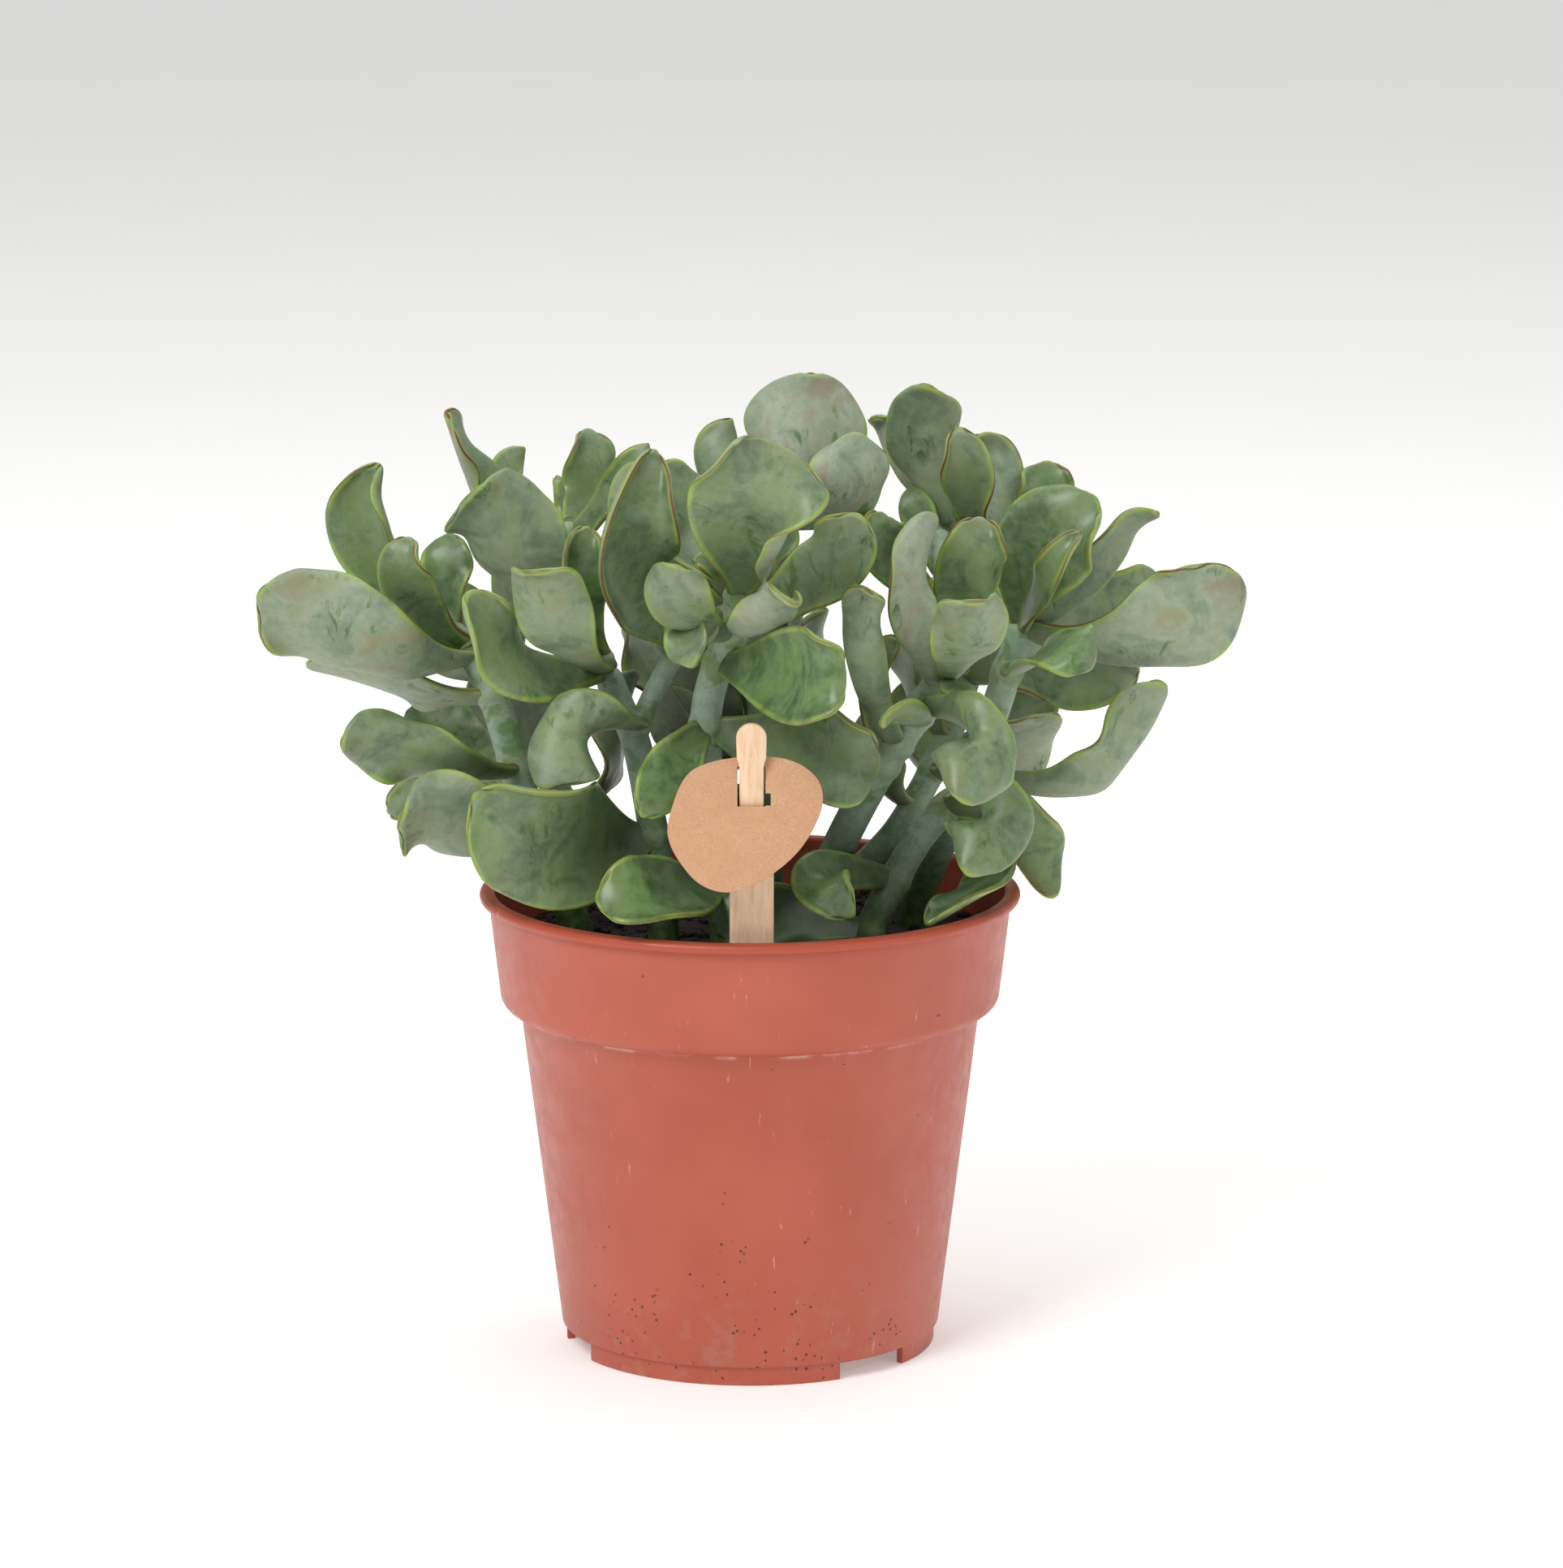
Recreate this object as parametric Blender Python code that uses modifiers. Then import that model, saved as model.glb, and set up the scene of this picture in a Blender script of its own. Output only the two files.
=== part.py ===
# A potted ripple jade: plastic nursery pot, soil, wooden stake, board tag and leafy stems.
# Every length below is in millimetres; the solids are made in metres, +Z up, front at -Y.

import math
import random

import bmesh
import bpy
import numpy as np

MM = 0.001
TINY = 1e-12
GAP = 0.3
SEED = 7

# The pot: outer radii and heights, measured from the photo with a 120 mm rim
POT_HEIGHT = 103.0
RIM_RADIUS = 60.0
LIP_HEIGHT = 2.4
COLLAR_TOP_RADIUS = 57.9
COLLAR_FOOT_RADIUS = 55.2
COLLAR_FOOT_HEIGHT = 76.8
COLLAR_ROUND = 3.2
BODY_TOP_RADIUS = 51.0
BASE_RADIUS = 41.6
FOOT_HEIGHT = 4.2
FOOT_INSET = 0.4
FOOT_WALL = 1.8
FLOOR_THICKNESS = 1.6
WALL = 1.4
POT_SIDES = 36
NOTCH_ANGLES = (42.0, 162.0, 288.0)
NOTCH_WIDTH = 26.0
DRAIN_COUNT = 6
DRAIN_RADIUS = 4.0
DRAIN_RING = 25.0

# The soil
SOIL_TOP = 91.5
SOIL_CROWN = ((0.0, 0.8), (32.0, 0.4))
SOIL_RELIEF = 0.9
SOIL_SEED = 3
ROOT_DEPTH = 16.0
STEM_CLEAR = 2.5

# The stake: a flat stick with a waisted, rounded head
STAKE_DEPTH = -50.0
STAKE_RIGHT = 0.6
STAKE_FOOT = 58.0
STAKE_LEAN = 6.0
STAKE_TOP = 150.6
STAKE_WIDTH = 9.5
STAKE_NECK_WIDTH = 5.2
STAKE_HEAD_WIDTH = 6.5
STAKE_SHOULDER = 129.0
STAKE_NECK_LOW = 132.0
STAKE_NECK_HIGH = 141.0
STAKE_THICKNESS = 1.4

# The tag: a rounded triangle of board, leaning back so that the stake's neck passes its slit
TAG_THICKNESS = 0.9
TAG_LEAN = 20.0
TAG_SLIT_WIDTH = 6.0
TAG_SLIT_LEFT = -3.0
TAG_OUTLINE = ((-18.2, -8.0), (-14.6, 2.6), (-9.2, 5.3), (-2.6, 6.4), (4.2, 6.6), (10.2, 5.2),
               (14.6, 1.6), (15.6, -3.4), (13.2, -9.4), (9.6, -14.6), (4.0, -19.2), (-2.0, -22.2),
               (-6.6, -22.8), (-11.6, -20.8), (-15.4, -16.2), (-17.6, -12.2))

# How the photo looks at the plant: from here the leaves are placed as they are seen
VIEW_TILT = 11.2
VIEW_DISTANCE = 1500.0
VIEW_AIM = (7.0, 0.0, 126.3)
VIEW_AIM_UP = 123.2

# A leaf's form
LEAF_THICKNESS = 2.3
LEAF_EDGE = 1.2
BASE_SWELL = 1.7
PETIOLE_WIDTH = 4.6
WIDEST_AT = 0.62
WAVES = 1.15
RIPPLE = 13.0
HOOK_RANGE = (0.4, 1.7)
ROLL_PLACES = (0.3, 0.6, 0.9)
ROLL_SPREAD = 0.17
ROLL_STEPS = 8
ROW_CROWDING = 1.4
BLADE_SPLITS = ((24.5, (5, 4)), (9.5, (4, 3)), (0.0, (3, 2)))

# Every stem: the runs of its stem and twigs (seen right, seen up, depth), their thickness
STEMS = {
    "leafy_stem_left": (
        (7.0, ((-38, 92, -4), (-46, 108, -6), (-51, 124, -7), (-57, 143, -6), (-62, 153, -4))),
        (4.6, ((-62, 153, -4), (-68, 159, 2), (-76, 166, 5))),
    ),
    "leafy_stem_left_front": (
        (6.6, ((-19, 90, -14), (-21, 110, -16), (-25, 132, -16), (-29, 141, -15), (-32, 149, -13))),
        (4.6, ((-32, 149, -13), (-37, 160, 0), (-41, 172, 8), (-40, 182, 9))),
        (4.6, ((-25, 134, -16), (-20, 146, -13), (-14, 156, -11))),
    ),
    "leafy_stem_centre": (
        (7.0, ((-5, 90, -16), (-8, 112, -20), (-10, 136, -22), (-7, 150, -24), (-3, 159, -28),
               (-2, 168, -31))),
        (4.6, ((-3, 159, -28), (2, 170, -14), (6, 182, -8), (9, 190, -6))),
    ),
    "leafy_stem_right_front": (
        (7.4, ((12, 92, -10), (19, 108, -14), (28, 125, -18), (38, 140, -24), (44, 148, -26))),
        (4.6, ((40, 143, -24), (44, 156, -12), (43, 170, -4), (42, 180, 0))),
    ),
    "leafy_stem_right": (
        (6.8, ((36, 96, 14), (45, 116, 8), (53, 136, 2), (57, 148, 0), (61, 160, 0))),
        (4.6, ((61, 160, 0), (63, 171, 8), (63, 180, 14))),
        (4.6, ((60, 158, 0), (54, 169, 8), (47, 181, 10))),
    ),
    "leafy_stem_low": (
        (6.8, ((25, 84, -26), (30, 98, -20), (38, 112, -14), (47, 121, -10), (54, 126, -6))),
    ),
}

# Every leaf: root, middle, tip (seen right, seen up, depth), width, the way its upper face
# looks at mid-length (right, up, toward the viewer), twist in degrees, cup, wave, tip width
LEAVES = {
    "leafy_stem_left": (
        ((-61, 152, -6), (-85, 152.5, -26), (-108.5, 166, -32), 29, (.2, .5, -.8), 10, .6, 2.4, .45),
        ((-57, 143, -6), (-78, 144.5, -3), (-98, 149.5, 4), 24, (.1, .9, -.5), 0, .4, 1.6, .3),
        ((-62, 153, -4), (-77, 162, 10), (-89, 170, 16), 20, (.4, .5, .7), 0, .6, 1.6, .4),
        ((-70, 160, 2), (-83, 176, 8), (-82, 194, 8), 19, (-.4, .2, .9), 30, .8, 1.2, .15),
        ((-64, 154, -5), (-74.5, 165, -18), (-75, 177.5, -20), 12, (-.3, .3, .9), 20, .7, 1.2, .4),
        ((-66, 158, 0), (-67, 169, 2), (-66, 178.5, 6), 12, (-.3, .1, .9), 0, .4, .8, .3),
        ((-50, 127, -7), (-72, 128.5, -26), (-90.5, 132, -32), 19, (0, .6, -.75), 20, .5, 1.8, .45),
        ((-53, 128, -7), (-66, 134, 6), (-74, 141, 14), 15, (.2, .3, .9), 0, .4, 1.2, .4),
        ((-52, 126, -7), (-68, 122, 4), (-80, 117, 10), 12, (.2, .4, .8), 0, .3, 1.2, .3),
        ((-46, 112, -8), (-63, 113, -30), (-77.5, 115, -40), 26, (.1, .3, -.9), 0, .4, 2.0, .4),
    ),
    "leafy_stem_left_front": (
        ((-38, 160, 0), (-52, 176, -18), (-62, 187, -24), 26, (.2, .2, -.9), 10, .5, 1.6, .6),
        ((-32, 149, -13), (-51, 149, -34), (-62, 166, -42), 18, (.3, .6, .7), 10, .5, 1.6, .5),
        ((-32, 149, -13), (-43, 159, -48), (-48, 170, -60), 18, (.2, .3, -.9), 0, .4, 1.2, .5),
        ((-33, 151, -12), (-38, 165, -26), (-36, 180, -28), 14, (.3, .1, .95), 0, .9, 1.0, .3),
        ((-15, 155, -11), (-27, 171, -34), (-21, 197, -36), 22, (.3, .1, .95), 10, .6, 1.6, .2),
        ((-17, 152, -11), (-28, 181, -20), (-23, 192.5, -22), 9, (.5, .1, -.8), 0, .3, .6, .3),
        ((-40, 180, 9), (-36, 191, 14), (-36, 201.5, 20), 12, (.3, .1, .95), 20, .3, 1.0, .55),
        ((-40, 176, 8), (-30.5, 187, 2), (-22.5, 198.5, 0), 9, (-.4, .3, .8), 20, .4, .8, .15),
        ((-41, 174, 8), (-60, 190, 6), (-67, 205, -4), 16, (.5, .6, .6), 60, .4, 1.4, .3),
        ((-41, 178, 8), (-54, 188.5, 20), (-50, 197.5, 26), 8, (.4, .4, .8), 0, .3, .6, .15),
        ((-40, 181, 9), (-41, 186, 12), (-43, 191, 16), 5, (.4, .3, .8), 0, .3, .4, .2),
        ((-25, 137, -16), (-37, 135, -36), (-46, 122, -42), 23, (.3, .3, -.9), 20, .4, 1.4, .3),
        ((-21, 112, -16), (-40, 110, -34), (-61, 121, -42), 32, (-.1, .15, .95), 0, .4, 2.0, .2),
    ),
    "leafy_stem_centre": (
        ((-2, 165, -30), (1, 182, -58), (6, 198, -62), 30, (0, .1, 1), 0, .8, 2.0, .7),
        ((7, 178, -8), (11, 197, -12), (13.5, 214, -10), 29, (.1, .3, -.9), 0, .7, 2.0, .25),
        ((6, 184, -7), (-7, 192, -4), (-4, 204, 2), 12, (.3, .2, -.9), 0, .3, .8, .1),
        ((7, 181, -7), (20, 187, -24), (23, 201, -24), 19, (-.2, .2, -.9), 0, .3, .8, .55),
        ((-2, 161, -28), (15, 169, -38), (24, 183, -42), 17, (-.3, .1, .9), 0, .3, 1.4, .5),
        ((-2, 167, -31), (-8, 171, -38), (-12.5, 172.5, -41), 5, (0, .5, .8), 0, .3, .3, .4),
        ((-3, 158, -28), (2, 160, -55), (9.5, 163, -70), 12, (.1, .4, -.9), 30, .6, 1.8, .5),
        ((-7, 150, -24), (9, 147.5, -56), (21, 147, -70), 22, (0, .2, .95), 0, .3, 1.0, .6),
        ((-9, 136, -22), (12, 130, -36), (28.5, 128, -42), 23, (0, .2, 1), 0, .3, 1.4, .5),
        ((-9, 136, -22), (-16, 128, -38), (-24, 116, -44), 13, (.4, .5, .8), 10, .4, 1.4, .35),
        ((-5, 156, -27), (-15, 162, -46), (-16, 171.5, -52), 15, (.2, .3, -.9), 0, .4, .8, .55),
        ((-5, 156, -27), (-12, 158, -36), (-12.5, 149, -46), 12, (-.4, .2, .9), 0, .4, 1.0, .5),
        ((0, 166, -17), (-14, 180, -6), (-16, 195, -2), 17, (.1, .1, .95), 0, .3, .8, .5),
        ((-7, 104, -19), (-17, 99, -44), (-34, 98, -52), 19, (0, .5, .8), 0, .4, 1.2, .45),
    ),
    "leafy_stem_right_front": (
        ((32, 133, -20), (25, 154, -49), (26, 166, -53), 11, (.2, .1, -.9), 0, .5, .8, .35),
        ((43, 160, -8), (31, 174, -18), (29, 183, -20), 12, (.2, .1, .95), 0, .4, 1.0, .4),
        ((43, 170, -4), (38, 181, 2), (35.5, 189, 6), 8, (0, .1, .95), 0, .3, .4, .1),
        ((42, 146, -24), (36, 163, -44), (41, 183, -42), 12, (-.3, .1, -.9), 50, .5, 1.4, .45),
        ((44, 152, -16), (48, 168, -30), (51, 182, -30), 15, (.1, .1, 1), 0, .3, 1.2, .4),
        ((44, 147, -26), (48, 155, -58), (50, 163.5, -71), 17, (-.1, .2, -.9), 0, .4, 1.2, .5),
        ((30, 128, -18), (27, 147, -30), (33, 155, -32), 7, (.3, 0, .9), 0, .3, .5, .3),
        ((38, 141, -24), (50, 134, -57), (47, 119, -70), 22, (-.1, .2, -.9), 10, .5, 1.4, .3),
        ((37, 139, -23), (36, 138, -48), (29, 136, -56), 8, (0, .6, -.7), 0, .5, .6, .5),
        ((44, 147, -26), (45, 144, -38), (50, 141.5, -43), 5, (0, .5, .7), 0, .5, .3, .4),
    ),
    "leafy_stem_right": (
        ((60, 158, 0), (64, 174, -14), (77, 186, -18), 23, (-.2, .2, .95), 0, .3, 1.8, .4),
        ((63, 176, 12), (65, 186, 20), (66, 194.5, 24), 13, (0, .1, .95), 0, .3, .8, .5),
        ((61, 158, 0), (65, 168, -24), (73, 179, -28), 8, (-.5, .2, .8), 30, .6, .8, .25),
        ((61, 158, 0), (77, 172, -5), (90.5, 183, -4), 11, (-.4, .4, -.8), 30, .3, .8, .2),
        ((61, 158, 0), (80, 163.5, 14), (92, 166, 22), 13, (0, .4, .9), -2, .3, 1.0, .5),
        ((61, 158, 0), (90, 155.5, -18), (105, 171.5, -20), 25, (.05, .4, -.9), -5, .4, 2.2, .5),
        ((57, 149, 0), (66, 152, -34), (76, 150, -44), 15, (0, .6, .8), -2, .3, 1.2, .6),
        ((57, 147, 0), (71, 147, 4), (86, 150, 10), 17, (0, .5, .8), 5, .3, 1.4, .4),
        ((48, 179, 10), (40, 194, 4), (39, 211.5, -2), 19, (.2, .2, -.9), -7, .4, 1.6, .4),
        ((49, 177, 10), (49, 188, 0), (46, 202, -2), 12, (-.2, .1, .95), -6, .6, 1.2, .4),
        ((50, 176, 10), (54, 189, 22), (49.5, 200, 26), 14, (0, .1, -.95), -5, .4, 1.2, .4),
        ((47, 180, 10), (34, 195, 20), (27, 204, 22), 8, (.4, .4, -.8), 23, .3, .8, .4),
    ),
    "leafy_stem_low": (
        ((53, 125, -6), (78, 126.5, -18), (90.5, 146, -22), 18, (-.3, .5, -.8), 0, .5, 1.4, .5),
        ((52, 125, -7), (62, 113, 8), (67, 98, 14), 13, (-.2, .3, -.9), -3, .3, 1.2, .25),
        ((44, 119, -11), (53, 117, -40), (48, 103, -48), 21, (.2, .1, -.9), -3, .4, 1.4, .35),
        ((43, 117, -12), (54, 103, -20), (39, 92, -36), 17, (-.6, .5, .4), 3, .6, 1.0, .3),
        ((32, 102, -18), (16, 103, -38), (23, 94, -43), 13, (0, .3, .95), 0, .3, .8, .5),
        ((26, 90, -24), (7, 94, -33), (-8, 91, -34), 15, (0, .4, .9), 0, .3, .8, .5),
    ),
}

# How far a margin rolls over at three places along the leaf, in degrees, first on its
# minus side and then on its plus side. Only leaves whose folds show well are listed.
ROLLS = {
    "leafy_stem_left": {
        1: ((25, 35, 25), (-20, -45, -30)),
        4: ((0, 0, 0), (50, 100, 110)),
        7: ((60, 70, 30), (0, -20, -20)),
    },
    "leafy_stem_left_front": {
        1: ((0, 25, 50), (0, -10, 0)),
        5: ((0, 20, 130), (0, 10, 20)),
        12: ((0, 60, 90), (0, 0, 0)),
        13: ((-20, -20, 0), (10, -20, 90)),
    },
    "leafy_stem_centre": {
        1: ((40, 15, 0), (110, 120, -30)),
        2: ((40, 60, 20), (20, 20, 40)),
        5: ((0, -20, -40), (0, 30, 40)),
        7: ((40, 90, 60), (0, 20, 0)),
        8: ((0, 60, 90), (0, 20, 60)),
        9: ((0, 0, 30), (0, 40, -30)),
        14: ((0, 0, 60), (0, 20, 0)),
    },
    "leafy_stem_right_front": {
        1: ((30, 60, 30), (0, 0, 0)),
        5: ((20, 40, -30), (0, -20, 40)),
        6: ((0, 30, 20), (0, 40, -20)),
        8: ((0, 20, 60), (60, 90, 20)),
    },
    "leafy_stem_right": {
        1: ((0, 0, -50), (0, 20, 60)),
        6: ((40, 60, 0), (0, -30, -40)),
        8: ((0, 20, 60), (0, 20, -40)),
        9: ((0, 30, 60), (0, -20, 30)),
    },
    "leafy_stem_low": {
        1: ((60, 50, 20), (0, -20, -30)),
        2: ((0, 20, -30), (0, -20, 30)),
        3: ((0, 30, 70), (0, 0, 40)),
    },
}

BACK_STEM_THICKNESS = 6.4

# Leafy stems of the far side, out of the photo's sight, grown by rule: the stem's run, then
# the number of leaf pairs, how far up the first one stands (0 to 1), its turn in degrees and
# the leaves' length and width
BACK_STEMS = {
    "leafy_stem_back_left": (((-28, 92, 18), (-38, 112, 28), (-48, 134, 37), (-57, 152, 44)),
                             5, 0.42, 0.0, 36.0, 23.0),
    "leafy_stem_back": (((-5, 92, 24), (-7, 120, 36), (-7, 146, 44), (-9, 165, 48)),
                        5, 0.42, 65.0, 36.0, 24.0),
    "leafy_stem_back_right": (((18, 92, 30), (32, 112, 38), (44, 134, 44), (50, 154, 49)),
                              5, 0.42, 24.0, 36.0, 23.0),
    "leafy_stem_middle": (((4, 92, 2), (4, 120, 6), (2, 146, 10), (0, 164, 12)),
                          5, 0.24, 78.0, 27.0, 18.0),
}


def seen(right, up, depth):
    # A point seen that far right and up of the pot's foot in the photo, at a depth behind
    # the pot's axis: the line of sight through the picture is followed to that depth.
    tilt = math.radians(VIEW_TILT)
    forward = np.array([0.0, math.cos(tilt), -math.sin(tilt)])
    upward = np.array([0.0, math.sin(tilt), math.cos(tilt)])
    eye = np.array(VIEW_AIM) - VIEW_DISTANCE * forward
    on_picture = np.array(VIEW_AIM) + (up - VIEW_AIM_UP) * upward
    on_picture[0] = right
    reach = (depth - eye[1]) / (on_picture[1] - eye[1])
    return eye + reach * (on_picture - eye)


def unit(vector):
    return vector / np.maximum(np.linalg.norm(vector, axis=-1, keepdims=True), TINY)


def smooth_run(points, steps=3):
    # A smooth line through the points, starting upright.
    points = [np.asarray(point, dtype=float) for point in points]
    first = points[0] - np.array([0.0, 0.0, 12.0])
    last = 2.0 * points[-1] - points[-2]
    whole = [first] + points + [last]
    line = []
    for i in range(1, len(whole) - 2):
        before, start, end, after = whole[i - 1:i + 3]
        for step in range(steps):
            t = step / steps
            line.append(0.5 * (2.0 * start + (end - before) * t
                               + (2.0 * before - 5.0 * start + 4.0 * end - after) * t ** 2
                               + (3.0 * start - before - 3.0 * end + after) * t ** 3))
    line.append(points[-1])
    return line


def nearest_on(runs, point):
    # The point of the stem's lines that lies nearest to the given one.
    best = None
    for line in runs:
        for start, end in zip(line[:-1], line[1:]):
            along = end - start
            t = min(1.0, max(0.0, float((point - start) @ along / (along @ along))))
            spot = start + t * along
            away = np.linalg.norm(point - spot)
            if best is None or away < best[0]:
                best = (away, spot)
    return best[1]


def stem_runs(name):
    # Every run of a stem as (thickness, line of points); the first one rises from the soil.
    runs = ((BACK_STEM_THICKNESS, BACK_STEMS[name][0]),) if name in BACK_STEMS else STEMS[name]
    lines = [[seen(*point) for point in points] for thick, points in runs]
    lines[0][0][2] = SOIL_TOP + STEM_CLEAR
    return [(thick, smooth_run(line)) for (thick, points), line in zip(runs, lines)]


def leaf_records(name, rng):
    runs = [line for thick, line in stem_runs(name)]
    if name in BACK_STEMS:
        return grown_leaves(name, runs[0], rng)
    records = []
    for i, row in enumerate(LEAVES[name]):
        root, middle, tip, width, face, twist, cup, wave, tip_width = row
        records.append({
            "root": nearest_on(runs, seen(*root)), "middle": seen(*middle), "tip": seen(*tip),
            "width": width, "face": unit(np.array([face[0], -face[2], face[1]])),
            "twist": math.radians(twist), "cup": cup, "wave": wave, "tip_width": tip_width,
            "rolls": ROLLS.get(name, {}).get(i + 1, ((0, 0, 0), (0, 0, 0))),
            "hook": rng.uniform(*HOOK_RANGE), "phases": (rng.random(), rng.random())})
    return records


def grown_leaves(name, line, rng):
    # Opposite pairs up the stem, every pair turned a quarter against the one below.
    run, pairs, first_place, first_turn, length, width = BACK_STEMS[name]
    records = []
    for pair in range(pairs):
        place = first_place + (1.0 - first_place) * pair / (pairs - 1)
        spot = line[min(len(line) - 1, int(round(place * (len(line) - 1))))]
        below = line[max(0, int(round(place * (len(line) - 1))) - 1)]
        axis = unit(spot - below)
        sideways = unit(np.cross(axis, np.array([0.0, 1.0, 0.2])))
        across = np.cross(axis, sideways)
        for half in (0, 1):
            turn = math.radians(first_turn + 90.0 * pair + 180.0 * half + rng.uniform(-12, 12))
            out = math.cos(turn) * sideways + math.sin(turn) * across
            size = rng.uniform(0.85, 1.05)
            rise = 0.35 + 0.55 * pair / (pairs - 1)
            lean = unit(out + rise * axis)
            middle = spot + size * length * 0.5 * lean - 1.5 * axis
            tip = spot + size * length * unit(out + (rise + 0.35) * axis)
            records.append({
                "root": spot, "middle": middle, "tip": tip, "width": size * width,
                "face": unit(axis - 0.5 * out), "twist": math.radians(rng.uniform(-25, 25)),
                "cup": rng.uniform(0.3, 0.6), "wave": rng.uniform(1.2, 2.0),
                "tip_width": rng.uniform(0.3, 0.5), "rolls": ((0, 0, 0), (0, 0, 0)),
                "hook": rng.uniform(*HOOK_RANGE), "phases": (rng.random(), rng.random())})
    return records


def leaf_half_width(leaf, s):
    # Half the leaf's width at s, from its root at 0 to its tip at 1.
    stalk = min(0.6, PETIOLE_WIDTH / leaf["width"])
    rise = np.clip(s / WIDEST_AT, 0.0, 1.0)
    left = np.clip((s - WIDEST_AT) / (1.0 - WIDEST_AT), 0.0, 1.0)
    blunt = leaf["tip_width"]
    lower = stalk + (1.0 - stalk) * np.sin(0.5 * math.pi * rise) ** 1.5
    upper = blunt + (1.0 - blunt) * (1.0 - left ** 2) ** (0.9 - 0.8 * min(blunt, 0.5))
    return 0.5 * leaf["width"] * np.where(s < WIDEST_AT, lower, upper)


def margin_roll(leaf, s, v):
    # How far the margin on that side turns over at s, in radians.
    phase = np.where(v < 0, leaf["phases"][0], leaf["phases"][1])
    ripple = RIPPLE * leaf["wave"] / leaf["width"]
    roll = ripple * np.minimum(1.0, s / 0.35) * np.sin(2.0 * math.pi * (WAVES * s + phase))
    for place, minus, plus in zip(ROLL_PLACES, *leaf["rolls"]):
        bump = np.exp(-((s - place) / ROLL_SPREAD) ** 2)
        roll = roll + np.radians(np.where(v < 0, minus, plus)) * bump
    return roll


def leaf_middle(leaf, s, v):
    # Points of the leaf's middle surface at s along and v across (-1 to 1).
    length = np.linalg.norm(leaf["tip"] - leaf["root"])
    bow = 0.3 * leaf["tip_width"] * leaf["width"] / length
    reach = (s - bow * v ** 2 * s ** 4)[:, None]
    bend = 2.0 * leaf["middle"] - 0.5 * (leaf["root"] + leaf["tip"])
    hook = leaf["hook"] * length * leaf["face"]
    spine = ((1 - reach) ** 2 * leaf["root"] + 2 * reach * (1 - reach) * bend
             + reach ** 2 * leaf["tip"] + reach * (1 - reach) * (reach - 0.5) * hook)
    along = unit(2 * (1 - reach) * (bend - leaf["root"]) + 2 * reach * (leaf["tip"] - bend)
                 + (3 * reach - 3 * reach ** 2 - 0.5) * hook)
    face = unit(leaf["face"] - np.sum(leaf["face"] * along, axis=1, keepdims=True) * along)
    turn = (leaf["twist"] * (s - 0.5))[:, None]
    face = np.cos(turn) * face + np.sin(turn) * np.cross(along, face)
    side = np.cross(along, face)
    half = leaf_half_width(leaf, s)
    roll = margin_roll(leaf, s, v)
    across = np.zeros_like(s)
    lift = np.zeros_like(s)
    for step in range(ROLL_STEPS):
        t = v * (step + 0.5) / ROLL_STEPS
        angle = leaf["cup"] * t + roll * np.abs(t) * t
        across += half * np.cos(angle) * v / ROLL_STEPS
        lift += half * np.sin(angle) * v / ROLL_STEPS
    return spine + across[:, None] * side + lift[:, None] * face


def leaf_points(leaf, s, v, layer, step_s, step_v):
    # Points of the leaf's upper (layer 1) or lower (layer -1) face, or between them.
    low_s, high_s = np.maximum(0.0, s - step_s), np.minimum(1.0, s + step_s)
    low_v, high_v = np.maximum(-1.0, v - step_v), np.minimum(1.0, v + step_v)
    along = leaf_middle(leaf, high_s, v) - leaf_middle(leaf, low_s, v)
    across = leaf_middle(leaf, s, high_v) - leaf_middle(leaf, s, low_v)
    normal = unit(np.cross(across, along))
    thick = LEAF_EDGE + (LEAF_THICKNESS - LEAF_EDGE) * (1.0 - v ** 2) * (1.0 - 0.5 * s)
    thick = thick + BASE_SWELL * np.maximum(0.0, 1.0 - s / 0.22) ** 2
    return leaf_middle(leaf, s, v) + (0.5 * layer * thick)[:, None] * normal


# Shapes of the solids

def new_collection(name):
    collection = bpy.data.collections.new(name)
    bpy.context.scene.collection.children.link(collection)
    return collection


def new_object(name, mesh, collection):
    thing = bpy.data.objects.new(name, mesh)
    collection.objects.link(thing)
    return thing


def mesh_from(name, work):
    mesh = bpy.data.meshes.new(name)
    bmesh.ops.recalc_face_normals(work, faces=work.faces)
    work.to_mesh(mesh)
    work.free()
    return mesh


def plain_material(name, colour, roughness):
    material = bpy.data.materials.new(name)
    material.use_nodes = True
    shader = material.node_tree.nodes["Principled BSDF"]
    linear = [((c + 0.055) / 1.055) ** 2.4 if c > 0.04045 else c / 12.92
              for c in (int(colour[i:i + 2], 16) / 255.0 for i in (1, 3, 5))]
    shader.inputs["Base Color"].default_value = (*linear, 1.0)
    shader.inputs["Roughness"].default_value = roughness
    material.diffuse_color = (*linear, 1.0)
    return material


def apply_modifiers(thing):
    # Swap the object's mesh for the one its modifiers give.
    graph = bpy.context.evaluated_depsgraph_get()
    mesh = bpy.data.meshes.new_from_object(thing.evaluated_get(graph))
    thing.modifiers.clear()
    thing.data = mesh


def boolean(thing, operand, operation, solver):
    step = thing.modifiers.new(operation.lower(), "BOOLEAN")
    step.operation = operation
    step.solver = solver
    if isinstance(operand, bpy.types.Collection):
        step.operand_type = "COLLECTION"
        step.collection = operand
    else:
        step.object = operand
    apply_modifiers(thing)


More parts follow.
